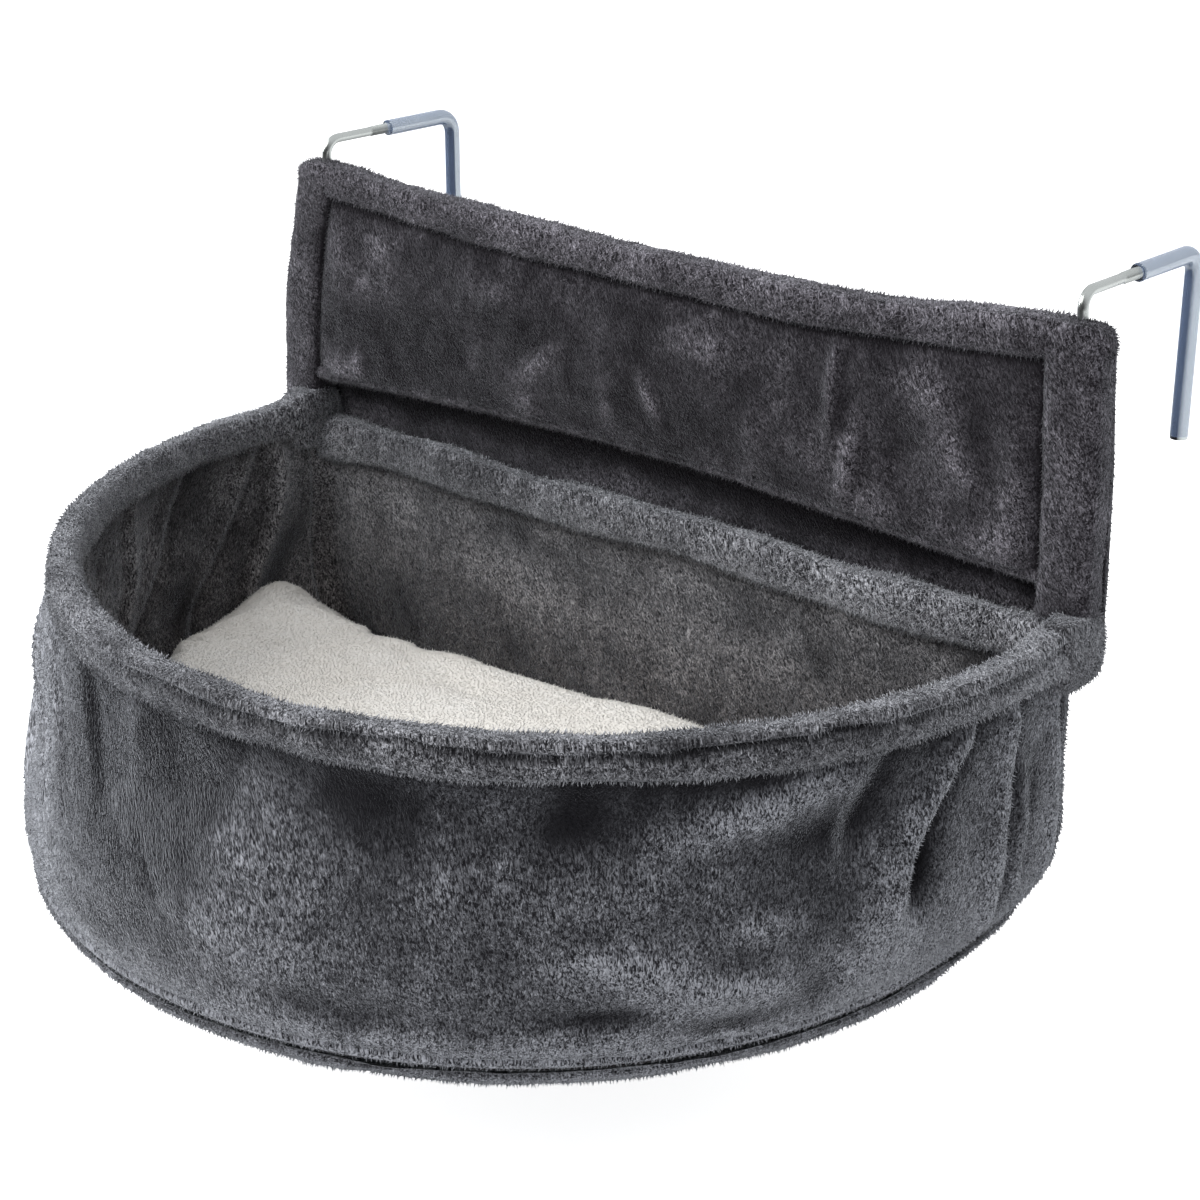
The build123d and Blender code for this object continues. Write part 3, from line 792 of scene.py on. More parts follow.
def make_field():
    """The padded middle of the panel, drawn in at its seams."""
    columns, rows = 170, 36
    u, v = np.meshgrid(np.linspace(0, 1, columns + 1), np.linspace(0, 1, rows + 1))
    grid = np.empty((rows + 1, columns + 1, 3))
    for i, j in itertools.product(range(rows + 1), range(columns + 1)):
        level = field_high.z + 1 * MM + (field_low.z - field_high.z) * v[i, j]
        left, right = panel_edge(-1, level) + 10 * MM, panel_edge(1, level) - 10 * MM
        x = left + (right - left) * u[i, j]
        top = field_high.z + 2 * MM + panel_sag(x)
        grid[i, j] = (x, field_low.y, top + (hem_z(x) - top) * v[i, j])
    field_width, field_tall = 0.42, 0.09
    from_seam = np.minimum(np.minimum(u, 1 - u) * field_width, v * field_tall)
    tone, lift = strokes_at(grid[..., 0], grid[..., 2], panel_strokes)
    puff = 1 - np.exp(-from_seam / (5 * MM))
    front, back = grid.copy(), grid.copy()
    front[..., 1] += 3.0 * MM * (1 - puff) - 2.5 * MM * puff * np.sin(pi * v) - lift
    back[..., 1] = field_high.y + 1 * MM
    # The strokes' painted sheen and shade, and painted shade in the stitched grooves along the seams.
    paint = 2.0 * tone - 0.5 * bell(from_seam, 0, 2.6 * MM)
    return cloth_shell("panel_front_cloth", back, front, paint=paint, inner_share=1.0)


def make_back_sheet():
    """The flat back of the panel, down behind the rear roll."""
    columns, rows = 170, 50
    corner = 12 * MM
    top = sheet_high.z - 3 * MM
    faces = []
    for y in (sheet_high.y, sheet_low.y):
        grid = np.empty((rows + 1, columns + 1, 3))
        for i, j in itertools.product(range(rows + 1), range(columns + 1)):
            u, v = 2 * j / columns - 1, i / rows
            z = top + (sheet_low.z - sheet_high.z + 3 * MM) * v
            half = abs(panel_edge(np.sign(u), z)) + 9.5 * MM
            near = min(z - sheet_low.z, top - z)
            if near < corner:
                half -= corner - sqrt(max(0.0, corner ** 2 - (corner - near) ** 2))
            x = u * half
            grid[i, j] = (x, y, z + panel_sag(x) * (1 - v))
        faces.append(grid)
    x, _, z = np.moveaxis(faces[1], -1, 0)
    seen = (z < hem_low.z + 18 * MM).astype(float)
    patches = 0.16 * np.sin(x / (32 * MM) + 2.2)
    in_shade = 0.75 * unit((z - sheet_low.z - 12 * MM) / (14 * MM))
    return cloth_shell("panel_back_cloth", *faces, inner_paint=(patches - in_shade) * seen, inner_share=seen)


def make_wadding():
    """The pad between the panel's two cloths."""
    u, v = np.meshgrid(np.linspace(0, 1, 80), np.linspace(0, 1, 20))
    edge = 1 - np.exp(-np.minimum(np.minimum(u, 1 - u) * 0.4, np.minimum(v, 1 - v) * 0.08) / (4 * MM))
    faces = []
    for y, puff in ((pad_low.y + 3 * MM, -2.5 * MM), (pad_high.y - 3 * MM, 2.5 * MM)):
        x = pad_low.x + 1 * MM + (pad_high.x - pad_low.x - 2 * MM) * u
        z = pad_low.z + 9 * MM + (pad_high.z - pad_low.z - 18 * MM) * v
        faces.append(np.stack([x, y + puff * edge, z], -1))
    return cloth_shell("panel_wadding_pad", faces[1], faces[0])


def make_corner(side, name):
    """The soft cloth corner where the rim, the rear roll and the side channel meet."""
    middle = (corner_low + corner_high) / 2
    half = (corner_high - corner_low) / 2 + Vector((-0.5, 1.2, 0.2)) * MM
    rings = []
    for angle in np.linspace(-pi / 2, pi / 2, 15)[1:-1]:
        wide = abs(cos(angle)) ** 0.36
        level = np.sign(sin(angle)) * abs(sin(angle)) ** 0.75
        across, depth = rounded_profile(2 * half.x * wide, 2 * half.y * wide, 0.55, 30)
        rings.append([(side * (middle.x + a), middle.y + d, middle.z + half.z * level)
                      for a, d in zip(across, depth)])
    return roll(name + "_corner_cover_cloth", rings)


def make_welt():
    """The corded seam round the base."""
    radius = 2.35 * MM
    z = (welt_low.z + welt_high.z) / 2 + 2.2 * MM
    line = np.array(d_outline(base_radius - 2.3 * MM, base_y, rear_y - 1.5 * MM, bag_corner, cloth_step,
                              tuck(1.0, 1.0)))
    ahead = np.roll(line, -1, 0) - np.roll(line, 1, 0)
    out = np.stack([-ahead[:, 1], ahead[:, 0]], 1) / np.linalg.norm(ahead, axis=1)[:, None]
    rings = [np.column_stack([line + out * radius * cos(angle), np.full(len(line), z + radius * sin(angle))])
             for angle in np.linspace(0, tau, 12, endpoint=False)]
    grid = np.array(rings + rings[:1])
    return soft_piece("base_welt_cloth", grid.reshape(-1, 3), grid_faces(len(grid), len(line), True), 1.0, 0.1)


# The cushion

swell_frames = 20


def swell(piece, pressure, cap):
    """Blows a closed cloth up like a filled cover, with a limit on how far a point may move."""
    start = coordinates(piece.data)
    modifier = piece.modifiers.new("swell", "CLOTH")
    modifier.settings.use_pressure = True
    modifier.settings.uniform_pressure_force = pressure
    modifier.settings.effector_weights.gravity = 0
    modifier.settings.quality = 4
    modifier.point_cache.frame_end = swell_frames
    for frame_number in range(1, swell_frames + 1):
        bpy.context.scene.frame_set(frame_number)
    make_plain(piece)
    bpy.context.scene.frame_set(1)
    moved = coordinates(piece.data) - start
    far = np.linalg.norm(moved, axis=1)
    moved *= np.minimum(1, cap / np.maximum(far, 1e-6))[:, None]
    move(piece.data, start + moved)


def cut_half(name, piece, level, keep_above):
    """The part of a closed piece above or below a level, closed again."""
    work = bmesh.new()
    work.from_mesh(piece.data)
    edges = bmesh.ops.bisect_plane(
        work, geom=work.verts[:] + work.edges[:] + work.faces[:], plane_co=(0, 0, level), plane_no=(0, 0, 1),
        clear_outer=not keep_above, clear_inner=keep_above)["geom_cut"]
    bmesh.ops.holes_fill(work, edges=[e for e in edges if isinstance(e, bmesh.types.BMEdge)])
    bmesh.ops.recalc_face_normals(work, faces=work.faces)
    mesh = bpy.data.meshes.new(name)
    work.to_mesh(mesh)
    work.free()
    smooth(mesh)
    return link(name, mesh)


# The cushion's flat slab, as shares of its outline and of its half thickness
slab = [(0.5, -1), (0.85, -1), (0.97, -0.9), (1, -0.4), (1, 0.4), (0.97, 0.9), (0.85, 1), (0.5, 1)]
# How much the swelling shrinks it, how far it lies askew, as a slope, and where it rests in the bag
shrinking = 9 * MM
askew = 0.12
shift_left = 8 * MM
back_limit = -62 * MM
# Its back left corner, pushed up against the wall: the place, how far round it that reaches, and the height
pushed_x, pushed_y = -0.208, -0.090
pushed_wide, pushed_long, pushed_up = 0.030, 0.032, 15 * MM


def make_cushion():
    """The loose cushion: swollen from a flat slab, its seam drawn in, askew, its back left corner pushed up."""
    centre_y = cushion_low.y + cushion_high.x
    seam_z = cushion_high.z
    outline = np.array(d_outline(
        cushion_high.x + shrinking, centre_y, cushion_high.y + shrinking, 22 * MM, 5 * MM))
    pivot = np.array([0, centre_y + 0.1])
    rings = [np.column_stack([pivot + (outline - pivot) * share,
                              np.full(len(outline), seam_z + 5 * MM + level * 12 * MM)]) for share, level in slab]
    piece = roll("cushion_swollen", rings)
    remesh = piece.modifiers.new("remesh", "REMESH")
    remesh.mode, remesh.voxel_size = "VOXEL", 5 * MM
    make_plain(piece)
    swell(piece, pressure=4.0, cap=12 * MM)
    points, sides = coordinates(piece.data), normals(piece.data)
    x, y, z = points.T
    seam = bell(z, seam_z, 2.6 * MM) * (np.abs(sides[:, 2]) < 0.75)
    points -= sides * (seam * 3.2 * MM)[:, None]
    above = unit((z - seam_z) / (10 * MM))
    behind = unit((y + 0.20) / 0.10)
    points[:, 1] -= behind * askew * unit(0.03 - x)
    points[:, 0] -= shift_left
    corner = np.exp(-(((x - pushed_x) / pushed_wide) ** 2 + ((y - pushed_y) / pushed_long) ** 2))
    points[:, 2] += pushed_up * corner + above * behind * (3 * MM * unit((x + 0.02) / 0.05) - 4 * MM)
    points[:, 2] += above * (1.2 * MM * soft_noise(points, 55 * MM, 21) + 0.5 * MM * soft_noise(points, 24 * MM, 22))
    points[:, 2] += above * 6 * MM * unit((-x - 0.165) / 0.04) * unit((y + 0.26) / 0.08)
    crease = np.abs((y + 0.10) + 0.25 * (x + 0.10)) / (5 * MM)
    points[:, 2] -= above * 1.6 * MM * np.exp(-crease) * (np.abs(x + 0.12) < 0.07)
    points[:, 2] = np.maximum(points[:, 2], cushion_low.z)
    points[:, 1] = np.minimum(points[:, 1], back_limit)
    move(piece.data, points)
    return piece, seam_z


# Rods


def make_upright(side, name):
    """A rod that stands in the channel, bends back and ends in a cut thread."""
    foot = Vector((side * foot_x, rod_y, hoop_z))
    head = Vector((side * hook_x, rod_y, arm_z))
    lean = (head - foot).normalized()
    back = Vector((0, 1, 0))
    across = lean.cross(back)
    plain = [rod_radius] * rod_sides
    start = foot + lean * ((upright_low.z - foot.z) / lean.z)
    bend_start = head - lean * rod_bend
    stations = [(start, back, [rod_radius * 0.8] * rod_sides), (start + lean * 0.5 * MM, back, plain)]
    stations += [(start.lerp(bend_start, share), back, plain) for share in np.linspace(0.05, 1, 12)]
    centre = bend_start + back * rod_bend
    for angle in np.linspace(0, pi / 2, 14)[1:]:
        place = centre - back * rod_bend * cos(angle) + lean * rod_bend * sin(angle)
        stations.append((place, back * cos(angle) - lean * sin(angle), plain))
    end_y = upright_high.y
    thread_y = end_y - thread_length
    top = Vector((head.x, 0, arm_z))
    stations.append((top + back * (thread_y - 0.4 * MM), -lean, plain))
    steps = int(thread_length / thread_pitch * thread_steps)
    for step in range(steps + 1):
        y = thread_y + thread_length * step / steps
        phase = (y / thread_pitch - np.linspace(0, 1, rod_sides, endpoint=False)) % 1
        cut = unit(min((y - thread_y) / (1.5 * MM), (end_y - y) / (0.9 * MM) + 0.35))
        radii = thread_root + (thread_crest - thread_root) * np.abs(2 * phase - 1) * cut
        stations.append((top + back * y, -lean, radii))
    angles = np.linspace(0, tau, rod_sides, endpoint=False)
    rings = [[place + across * (r * cos(a)) + up * (r * sin(a)) for r, a in zip(radii, angles)]
             for place, up, radii in stations]
    return roll(name + "_upright_bar", rings)


# Pile

# How strongly the pile is swept in patches and in clumps, and the clumps' scale
patch_sweep, clump_sweep, clump_scale = 3.4, 2.6, 190.0
# The patches' size in metres, the most tufts to a square metre, and how their lengths vary
brush_size = 0.045
most_tufts = 1500000.0
tuft_lengths = (0.7, 1.3)


def make_tuft():
    """One bent tuft of pile, with how far along it each point is."""
    points = [(1.1, 0, 1.0)] + [(0.5 * cos(a), 0.5 * sin(a), -0.08) for a in (0, tau / 3, 2 * tau / 3)]
    mesh = bpy.data.meshes.new("tuft")
    mesh.from_pydata(points, [], [(3, 2, 1), (0, 1, 2), (0, 2, 3), (0, 3, 1)])
    mark(mesh, "along", [1.0, 0.0, 0.0, 0.0])
    smooth(mesh)
    return link("tuft", mesh)


def make_pile_tree():
    """Scatters tufts over a piece, laid over and brushed in patches."""
    tree = bpy.data.node_groups.new("pile", "GeometryNodeTree")
    new_sockets(tree, "OUTPUT", "Geometry", "Geometry")
    new_sockets(tree, "INPUT", "Geometry", "Geometry")
    new_sockets(tree, "INPUT", "Object", "Tuft")
    new_sockets(tree, "INPUT", "Float", "Spacing", "Length", "Width", "Lie", "Mess", "Brush Size")
    new_sockets(tree, "INPUT", "Vector", "Fall")
    new_sockets(tree, "INPUT", "Int", "Seed")
    new_sockets(tree, "INPUT", "Material", "Material")
    given = add(tree, "NodeGroupInput").outputs
    math, vector = partial(number, tree), partial(direction, tree)

    def chance(kind, least, most, keys, **seed):
        """A random value for each tuft."""
        return add(tree, "FunctionNodeRandomValue", data_type=kind, inputs={
            keys[0]: least, keys[1]: most, **seed}).outputs[keys[2]]

    upright = add(tree, "GeometryNodeInputNormal").outputs[0]
    kept = add(tree, "GeometryNodeStoreNamedAttribute", data_type="FLOAT_VECTOR", domain="POINT", inputs={
        "Geometry": given["Geometry"], "Name": "nap_normal", "Value": upright})
    share = add(tree, "GeometryNodeInputNamedAttribute", data_type="FLOAT", inputs={"Name": "pile_share"})
    spread = add(tree, "GeometryNodeDistributePointsOnFaces", distribute_method="POISSON", inputs={
        "Mesh": kept.outputs[0], "Distance Min": given["Spacing"], "Density Max": most_tufts,
        "Density Factor": share.outputs["Attribute"], "Seed": given["Seed"]}).outputs
    place = add(tree, "GeometryNodeInputPosition").outputs[0]
    patches = noise(tree, vector("DIVIDE", place, given["Brush Size"]), 1.0, 1.0).outputs["Color"]
    clump = noise(tree, place, clump_scale, 1.0).outputs
    swept = vector("SCALE", vector("SUBTRACT", patches, (0.5, 0.5, 0.5)), patch_sweep)
    clumped = vector("SCALE", vector("SUBTRACT", clump["Color"], (0.5, 0.5, 0.5)), clump_sweep)
    brushed = vector("ADD", vector("ADD", swept, clumped), given["Fall"])
    loose = chance("FLOAT_VECTOR", (-1, -1, -1), (1, 1, 1), (0, 1, 0), Seed=given["Seed"])
    lean = vector("ADD", vector("SCALE", brushed, given["Lie"]), vector("SCALE", loose, given["Mess"]))
    aligned = add(tree, "FunctionNodeAlignRotationToVector", axis="Z", inputs={
        "Vector": vector("ADD", spread["Normal"], lean)})
    turn = add(tree, "FunctionNodeAxisAngleToRotation", inputs={
        "Axis": (0, 0, 1), "Angle": chance("FLOAT", 0.0, tau, (2, 3, 1))})
    rotated = add(tree, "FunctionNodeRotateRotation", rotation_space="LOCAL", inputs={
        0: aligned.outputs[0], 1: turn.outputs[0]})
    varied = math("MULTIPLY", given["Length"], chance("FLOAT", *tuft_lengths, (2, 3, 1), Seed=7))
    tall = math("MULTIPLY", varied, math("ADD", clump[0], 0.5))
    size = add(tree, "ShaderNodeCombineXYZ", inputs={0: given["Width"], 1: given["Width"], 2: tall})
    shape = add(tree, "GeometryNodeObjectInfo", inputs={"Object": given["Tuft"]})
    planted = add(tree, "GeometryNodeInstanceOnPoints", inputs={
        "Points": spread["Points"], "Instance": shape.outputs["Geometry"],
        "Rotation": rotated.outputs[0], "Scale": size.outputs[0]})
    tinted = add(tree, "GeometryNodeStoreNamedAttribute", data_type="FLOAT", domain="INSTANCE", inputs={
        "Geometry": planted.outputs[0], "Name": "tint", "Value": chance("FLOAT", 0.0, 1.0, (2, 3, 1), Seed=11)})
    real = add(tree, "GeometryNodeRealizeInstances", inputs={0: tinted.outputs[0]})
    dyed = add(tree, "GeometryNodeSetMaterial", inputs={0: real.outputs[0], "Material": given["Material"]})
    add(tree, "NodeGroupOutput", inputs={0: dyed.outputs[0]})
    return tree


def grown(base, name, tree, values):
    """The plain mesh that a tree makes from a piece."""
    piece = link(name, base.data.copy())
    modifier = piece.modifiers.new("grow", "NODES")
    modifier.node_group = tree
    for socket in tree.interface.items_tree:
        if socket.in_out == "INPUT" and socket.name in values:
            modifier[socket.identifier] = values[socket.name]
    make_plain(piece)
    piece.data.name = name
    return piece


# Materials

# The streaks' size and how they are turned, and how light unbrushed pile is
streak_size = (0.00075, 0.00075, 0.0034)
streak_turn = (0.55, 0.6, 0.3)
middle_light = 0.92
# The warm light low in the bag: from and to which height, and how strong
warm_range = (-0.17, -0.24, 0.0, 0.8)


def make_nap_group():
    """The colour, the fine relief and the soft shading direction of a plush, lighter and darker with its tone and
    painted light and shade, with painted shade at the roots.
    """
    tree = bpy.data.node_groups.new("plush_nap", "ShaderNodeTree")
    new_sockets(tree, "OUTPUT", "Color", "Color")
    new_sockets(tree, "OUTPUT", "Float", "Height")
    new_sockets(tree, "OUTPUT", "Vector", "Normal")
    new_sockets(tree, "INPUT", "Color", "Dark", "Light", "Warm")
    new_sockets(tree, "INPUT", "Float", "Clump Size", "Clumps", "Streaks", "Hairs", "Root", "Soften")
    given = add(tree, "NodeGroupInput").outputs
    where = add(tree, "ShaderNodeTexCoord").outputs["Object"]
    math, vector = partial(number, tree), partial(direction, tree)

    def value_of(name):
        """A number stored on the piece."""
        return add(tree, "ShaderNodeAttribute", attribute_name=name).outputs["Fac"]

    def uneven(source, size, detail):
        """Noise about nought with features of a size in metres."""
        made = noise(tree, vector("DIVIDE", source, size), 1.0, detail, Roughness=0.6, Distortion=0.8)
        return math("SUBTRACT", made.outputs[0], 0.5)

    clumps = math("MULTIPLY", uneven(where, given["Clump Size"], 2.0), given["Clumps"])
    tilted = add(tree, "ShaderNodeMapping", inputs={"Vector": where, "Rotation": streak_turn}).outputs[0]
    streaks = math("MULTIPLY", uneven(tilted, streak_size, 1.0), given["Streaks"])
    hairs = math("MULTIPLY", math("SUBTRACT", value_of("tint"), 0.5), given["Hairs"])
    light = math("ADD", math("ADD", clumps, streaks), math("ADD", hairs, middle_light))
    # The stored brushed value carries the pile's tone with its painted light and shade.
    total = math("MULTIPLY", value_of("brushed"), light)
    # Painted shade towards the roots of the tufts, and on the cloth between them.
    depth = math("ADD", given["Root"], math("MULTIPLY", value_of("along"), math("SUBTRACT", 1.0, given["Root"])))
    lit = add(tree, "ShaderNodeClamp", inputs={0: math("MULTIPLY", total, depth)}).outputs[0]
    color = add(tree, "ShaderNodeMix", data_type="RGBA", inputs={
        0: math("POWER", lit, 1.5), 6: given["Dark"], 7: given["Light"]}).outputs[2]
    low = add(tree, "ShaderNodeSeparateXYZ", inputs={0: where}).outputs["Z"]
    warmed = add(tree, "ShaderNodeMix", data_type="RGBA", blend_type="MULTIPLY", inputs={
        0: ranged(tree, low, *warm_range), 6: color, 7: given["Warm"]}).outputs[2]
    stored = add(tree, "ShaderNodeAttribute", attribute_name="nap_normal").outputs["Vector"]
    soft = add(tree, "ShaderNodeVectorTransform", vector_type="VECTOR", convert_from="OBJECT",
               convert_to="WORLD", inputs={0: stored}).outputs[0]
    sharp = add(tree, "ShaderNodeNewGeometry").outputs["Normal"]
    joined = vector("ADD", vector("SCALE", soft, given["Soften"]), sharp)
    facing = add(tree, "ShaderNodeVectorMath", operation="NORMALIZE", inputs={0: joined}).outputs[0]
    add(tree, "NodeGroupOutput", inputs={0: warmed, 1: math("ADD", clumps, streaks), 2: facing})
    return tree


def plush(name, dark, light, sheen=0.5, warm=(1, 1, 1), hairs=0.7, root=0.8, streaks=3.6):
    """Short-pile plush, with painted shade at the roots, and single hairs lighter and darker."""
    material, tree = new_material(name)
    nap = add(tree, "ShaderNodeGroup", node_tree=nap_group, inputs={
        "Dark": (*dark, 1), "Light": (*light, 1), "Warm": (*warm, 1), "Clump Size": 0.0042, "Clumps": 1.3,
        "Streaks": streaks, "Hairs": hairs, "Root": root, "Soften": 2.5})
    bump = add(tree, "ShaderNodeBump", inputs={
        "Height": nap.outputs["Height"], "Distance": 0.0012, "Strength": 0.5, "Normal": nap.outputs["Normal"]})
    shader = add(tree, "ShaderNodeBsdfPrincipled", inputs={
        "Base Color": nap.outputs["Color"], "Roughness": 0.95, "Specular IOR Level": 0.1,
        "Sheen Weight": sheen, "Sheen Roughness": 0.35, "Sheen Tint": (0.86, 0.89, 0.95, 1),
        "Normal": bump.outputs[0]})
    add(tree, "ShaderNodeOutputMaterial", inputs={0: shader.outputs[0]})
    return material


def grained(name, color, grain, clouds, dim, rough, relief, finish):
    """A hard material with a grain, and clouds if they aren't the grain: each a noise's scale and detail."""
    material, tree = new_material(name)
    where = add(tree, "ShaderNodeTexCoord").outputs["Object"]
    fine = noise(tree, where, *grain).outputs[0]
    cloudy = noise(tree, where, *clouds).outputs[0] if clouds else fine
    tone = add(tree, "ShaderNodeMix", data_type="RGBA", inputs={
        0: cloudy, 6: (*[c * dim for c in color], 1), 7: (*color, 1)})
    bump = add(tree, "ShaderNodeBump", inputs={"Height": fine, "Distance": relief[0], "Strength": relief[1]})
    shader = add(tree, "ShaderNodeBsdfPrincipled", inputs={
        "Base Color": tone.outputs[2], "Roughness": ranged(tree, fine, 0.0, 1.0, *rough),
        "Normal": bump.outputs[0], **finish})
    add(tree, "ShaderNodeOutputMaterial", inputs={0: shader.outputs[0]})
    return material


def metal(name, color, roughness):
    """Zinc plating: bright, with a fine uneven grain."""
    return grained(name, color, (900.0, 3.0), (90.0, 2.0), 0.86, (roughness * 0.7, roughness * 1.4),
                   (0.00005, 0.3), {"Metallic": 1.0})


def plastic(name, color, roughness, alpha=1.0):
    """Moulded or extruded plastic, with a faint grain."""
    return grained(name, color, (500.0, 2.0), None, 0.9, (roughness * 0.8, roughness * 1.3),
                   (0.00004, 0.4), {"Alpha": alpha})


# Put together

make_camera()
make_world()
make_floor()
bag_middle = Vector((0, -0.18, -0.15))
make_lamp("key", (-0.9, -1.6, 1.5), bag_middle, size=1.0, power=18, color=(1.0, 0.99, 0.97))
make_lamp("left", (-1.5, -0.5, 0.5), bag_middle, size=0.8, power=22, color=(0.96, 0.98, 1.0))

nap_group = make_nap_group()
bag_plush = plush("bag_plush", (0.012, 0.0115, 0.014), (0.42, 0.43, 0.47), sheen=0.9)
panel_plush = plush("panel_plush", (0.014, 0.012, 0.015), (0.42, 0.40, 0.45), sheen=0.35)
rim_plush = plush("rim_plush", (0.016, 0.0155, 0.018), (0.62, 0.625, 0.67), sheen=0.8, hairs=0.8, streaks=3.8)
lining_plush = plush("lining_plush", (0.016, 0.015, 0.0165), (0.52, 0.51, 0.53), sheen=0.6, warm=(1.0, 0.92, 0.84))
cream_plush = plush("cream_plush", (0.86, 0.82, 0.755), (0.97, 0.945, 0.895), sheen=0.1,
                    hairs=0.1, root=0.95, streaks=0.5)
zinc = metal("bright_zinc", (0.52, 0.545, 0.53), roughness=0.28)
arm_zinc = metal("arm_zinc", (0.50, 0.535, 0.54), roughness=0.13)
dull_zinc = metal("dull_zinc", (0.5, 0.51, 0.53), roughness=0.35)
clear_pvc = plastic("clear_pvc", (0.42, 0.57, 0.92), roughness=0.1, alpha=0.12)
black_clip = plastic("clip_plastic", (0.03, 0.03, 0.03), roughness=0.5)

tuft = make_tuft()
pile_tree = make_pile_tree()

# Soft patches of lighter and darker pile: size, strength and seed
brush_waves = [(50 * MM, 0.19, 31), (20 * MM, 0.23, 32), (8 * MM, 0.15, 33)]
most_brushed = 1.3


def store_tone_and_painted_light(piece, tone):
    """Works out how light each place of the pile lies: its own tone, the painted light and shade and the strokes of
    painted sheen and shade on it, and soft patches.
    """
    mesh = piece.data
    brushed = np.zeros(len(mesh.vertices))
    if "paint" in mesh.attributes:
        mesh.attributes["paint"].data.foreach_get("value", brushed)
    points = coordinates(mesh)
    brushed += tone
    for size, weight, seed in brush_waves:
        brushed += weight * soft_noise(points, size, seed)
    mark(mesh, "brushed", np.clip(brushed, 0, most_brushed))


def dress(piece, node, material, tone, waves=(), pile=None, seed=1, body="bed"):
    """Finishes a soft piece: its unevenness, its material, its pile and what it stands for."""
    ruffle(piece, waves)
    store_tone_and_painted_light(piece, tone)
    piece.data.materials.clear()
    piece.data.materials.append(material)
    parts = [piece]
    if pile:
        spacing, length, width, lie, mess, fall = pile
        parts.append(grown(piece, node + "_pile", pile_tree, {
            "Tuft": tuft, "Spacing": spacing * MM, "Length": length * MM, "Width": width * MM, "Lie": lie,
            "Mess": mess, "Brush Size": brush_size, "Fall": fall, "Seed": seed, "Material": material}))
    for part in parts:
        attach(part, body)
    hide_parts(node)
    return parts


# Unevenness of cloth: feature size, height and seed
wall_waves = [(60 * MM, 1.6 * MM, 1), (28 * MM, 0.8 * MM, 2), (7 * MM, 0.35 * MM, 3)]
small_waves = [(30 * MM, 0.8 * MM, 4), (7 * MM, 0.4 * MM, 5)]
sheet_waves = [(40 * MM, 0.8 * MM, 6)]

# Piles: spacing, length and width in mm, how far it lies over, how messily, and which way it falls
down, nowhere = (0.0, 0.0, -1.0), (0, 0, 0)
wall_pile = (1.15, 1.35, 0.7, 1.0, 0.3, down)
inner_pile = (1.15, 1.4, 0.7, 1.0, 0.3, down)
rim_pile = (1.0, 1.9, 0.7, 0.6, 0.35, down)
back_pile = (1.3, 1.5, 0.8, 1.0, 0.4, down)
floor_pile = (1.4, 1.4, 0.8, 1.0, 0.4, down)
hidden_pile = (1.5, 1.4, 0.8, 1.0, 0.4, down)
sparse_pile = (3.0, 2.4, 1.6, 1.2, 0.5, nowhere)
cream_pile = (1.3, 1.1, 0.7, 0.9, 0.6, nowhere)

cushion, cushion_seam = make_cushion()
crown = cut_half("cushion_top_cover", cushion, cushion_seam, True)
under = cut_half("cushion_bottom_cover", cushion, cushion_seam, False)
for half in (crown, under):
    mark(half.data, "pile_share", coordinates(half.data)[:, 2] != cushion_seam)
move(cushion.data, coordinates(cushion.data) - normals(cushion.data) * 3 * MM)
cushion.name = "cushion_filling_pad"
dress(crown, "cushion_top", cream_plush, 0.8, (), cream_pile, 20, "cushion")
dress(under, "cushion_bottom", cream_plush, 0.7, (), sparse_pile, 21, "cushion")
dress(cushion, "cushion_filling", cream_plush, 0.8, body="cushion")

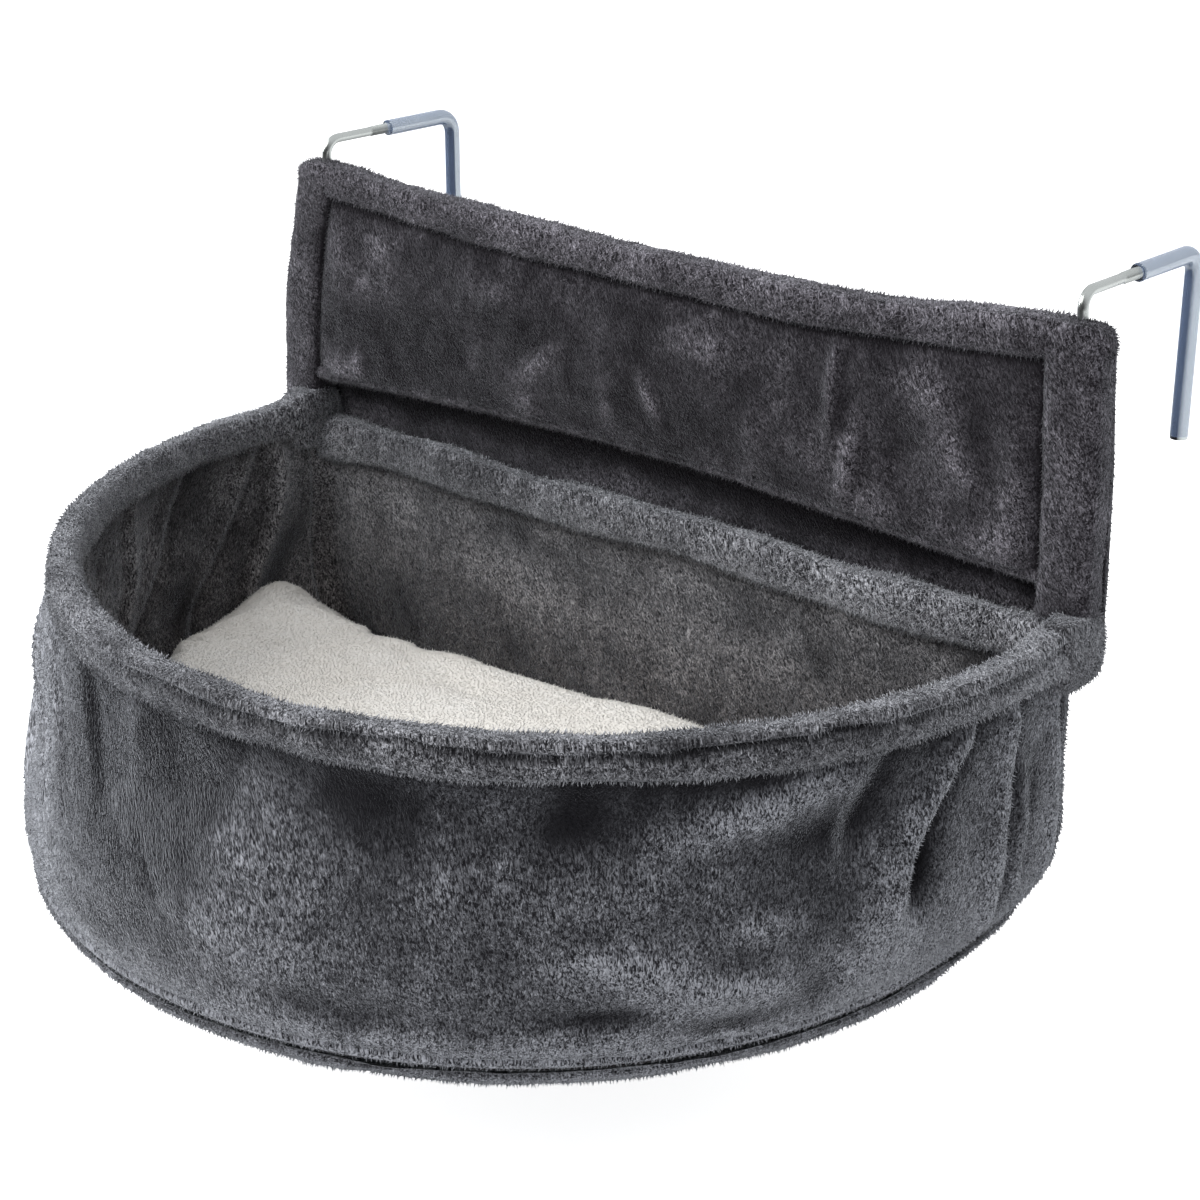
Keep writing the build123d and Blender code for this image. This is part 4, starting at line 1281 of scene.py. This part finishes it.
wall = dress(front_wall("bag_front_wall_cloth", cloth - plush_cloth, plush_cloth, False),
             "bag_front_wall", bag_plush, 0.48, wall_waves, wall_pile, 2)
lined = dress(front_wall("lining_front_cloth", cloth + between, lining_cloth, True),
              "lining_front", lining_plush, 0.5, small_waves, inner_pile, 3)
rear = dress(rear_wall("bag_rear_wall_cloth", 1.0 * MM, plush_cloth, True, ()),
             "bag_rear_wall", bag_plush, 0.5, small_waves, hidden_pile, 4)
rear_lined = dress(rear_wall("lining_rear_cloth", cloth + between, lining_cloth, False, lining_strokes),
                   "lining_rear", lining_plush, 0.56, small_waves, inner_pile, 5)
# The bag's floor takes a lighter tone, painted light on its downward side.
base = dress(dish("bag_floor_cloth", 3 * MM, 0.0, plush_cloth, True),
             "bag_floor", bag_plush, 0.9, small_waves, floor_pile, 6)
base_lined = dress(dish("lining_floor_cloth", 7 * MM, 4 * MM, plush_cloth, False),
                   "lining_floor", lining_plush, 0.5, small_waves, sparse_pile, 7)
sheet = dress(make_back_sheet(), "panel_back", panel_plush, 0.4, sheet_waves, back_pile, 12)

for piece, node, material, tone, waves, pile, seed in [
    # The welt's tone of 1.3 is painted light on its downward side.
    (make_welt(), "base_welt", bag_plush, 1.3, (), wall_pile, 8),
    (make_rim(), "rim_channel", rim_plush, 0.62, small_waves, rim_pile, 9),
    (make_rear_roll(), "rear_roll", rim_plush, 0.63, small_waves, rim_pile, 10),
    (make_field(), "panel_front", panel_plush, 0.27, small_waves, inner_pile, 11),
    (make_top_channel(), "panel_top_channel", panel_plush, 0.61, small_waves, rim_pile, 13),
    (make_hem(), "panel_hem", panel_plush, 0.45, small_waves, wall_pile, 14),
    (make_side_channel(-1, "left"), "left_panel_channel", panel_plush, 0.52, small_waves, wall_pile, 15),
    (make_side_channel(1, "right"), "right_panel_channel", panel_plush, 0.54, small_waves, wall_pile, 16),
    (make_corner(-1, "left"), "left_corner_cover", rim_plush, 0.62, small_waves, rim_pile, 17),
    (make_corner(1, "right"), "right_corner_cover", rim_plush, 0.62, small_waves, rim_pile, 18),
]:
    dress(piece, node, material, tone, waves, pile, seed)
wadding = dress(make_wadding(), "panel_wadding", cream_plush, 0.8)[0]

for side, name in ((-1, "left"), (1, "right")):
    bar = make_upright(side, name)
    bar.data.materials.append(zinc)
    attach(bar, name + "_rod")
    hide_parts(name + "_upright")

for material, names in (
    (arm_zinc, ("left_hook_arm", "right_hook_arm")),
    (dull_zinc, ("rim_hoop", "rear_bar", "left_thread_insert", "right_thread_insert")),
    (clear_pvc, ("left_hook_sleeve", "right_hook_sleeve")),
    (black_clip, ("left_corner_clip", "right_corner_clip")),
):
    for name in names:
        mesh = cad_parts[name].data
        mesh.materials.clear()
        mesh.materials.append(material)

bpy.data.objects.remove(tuft)
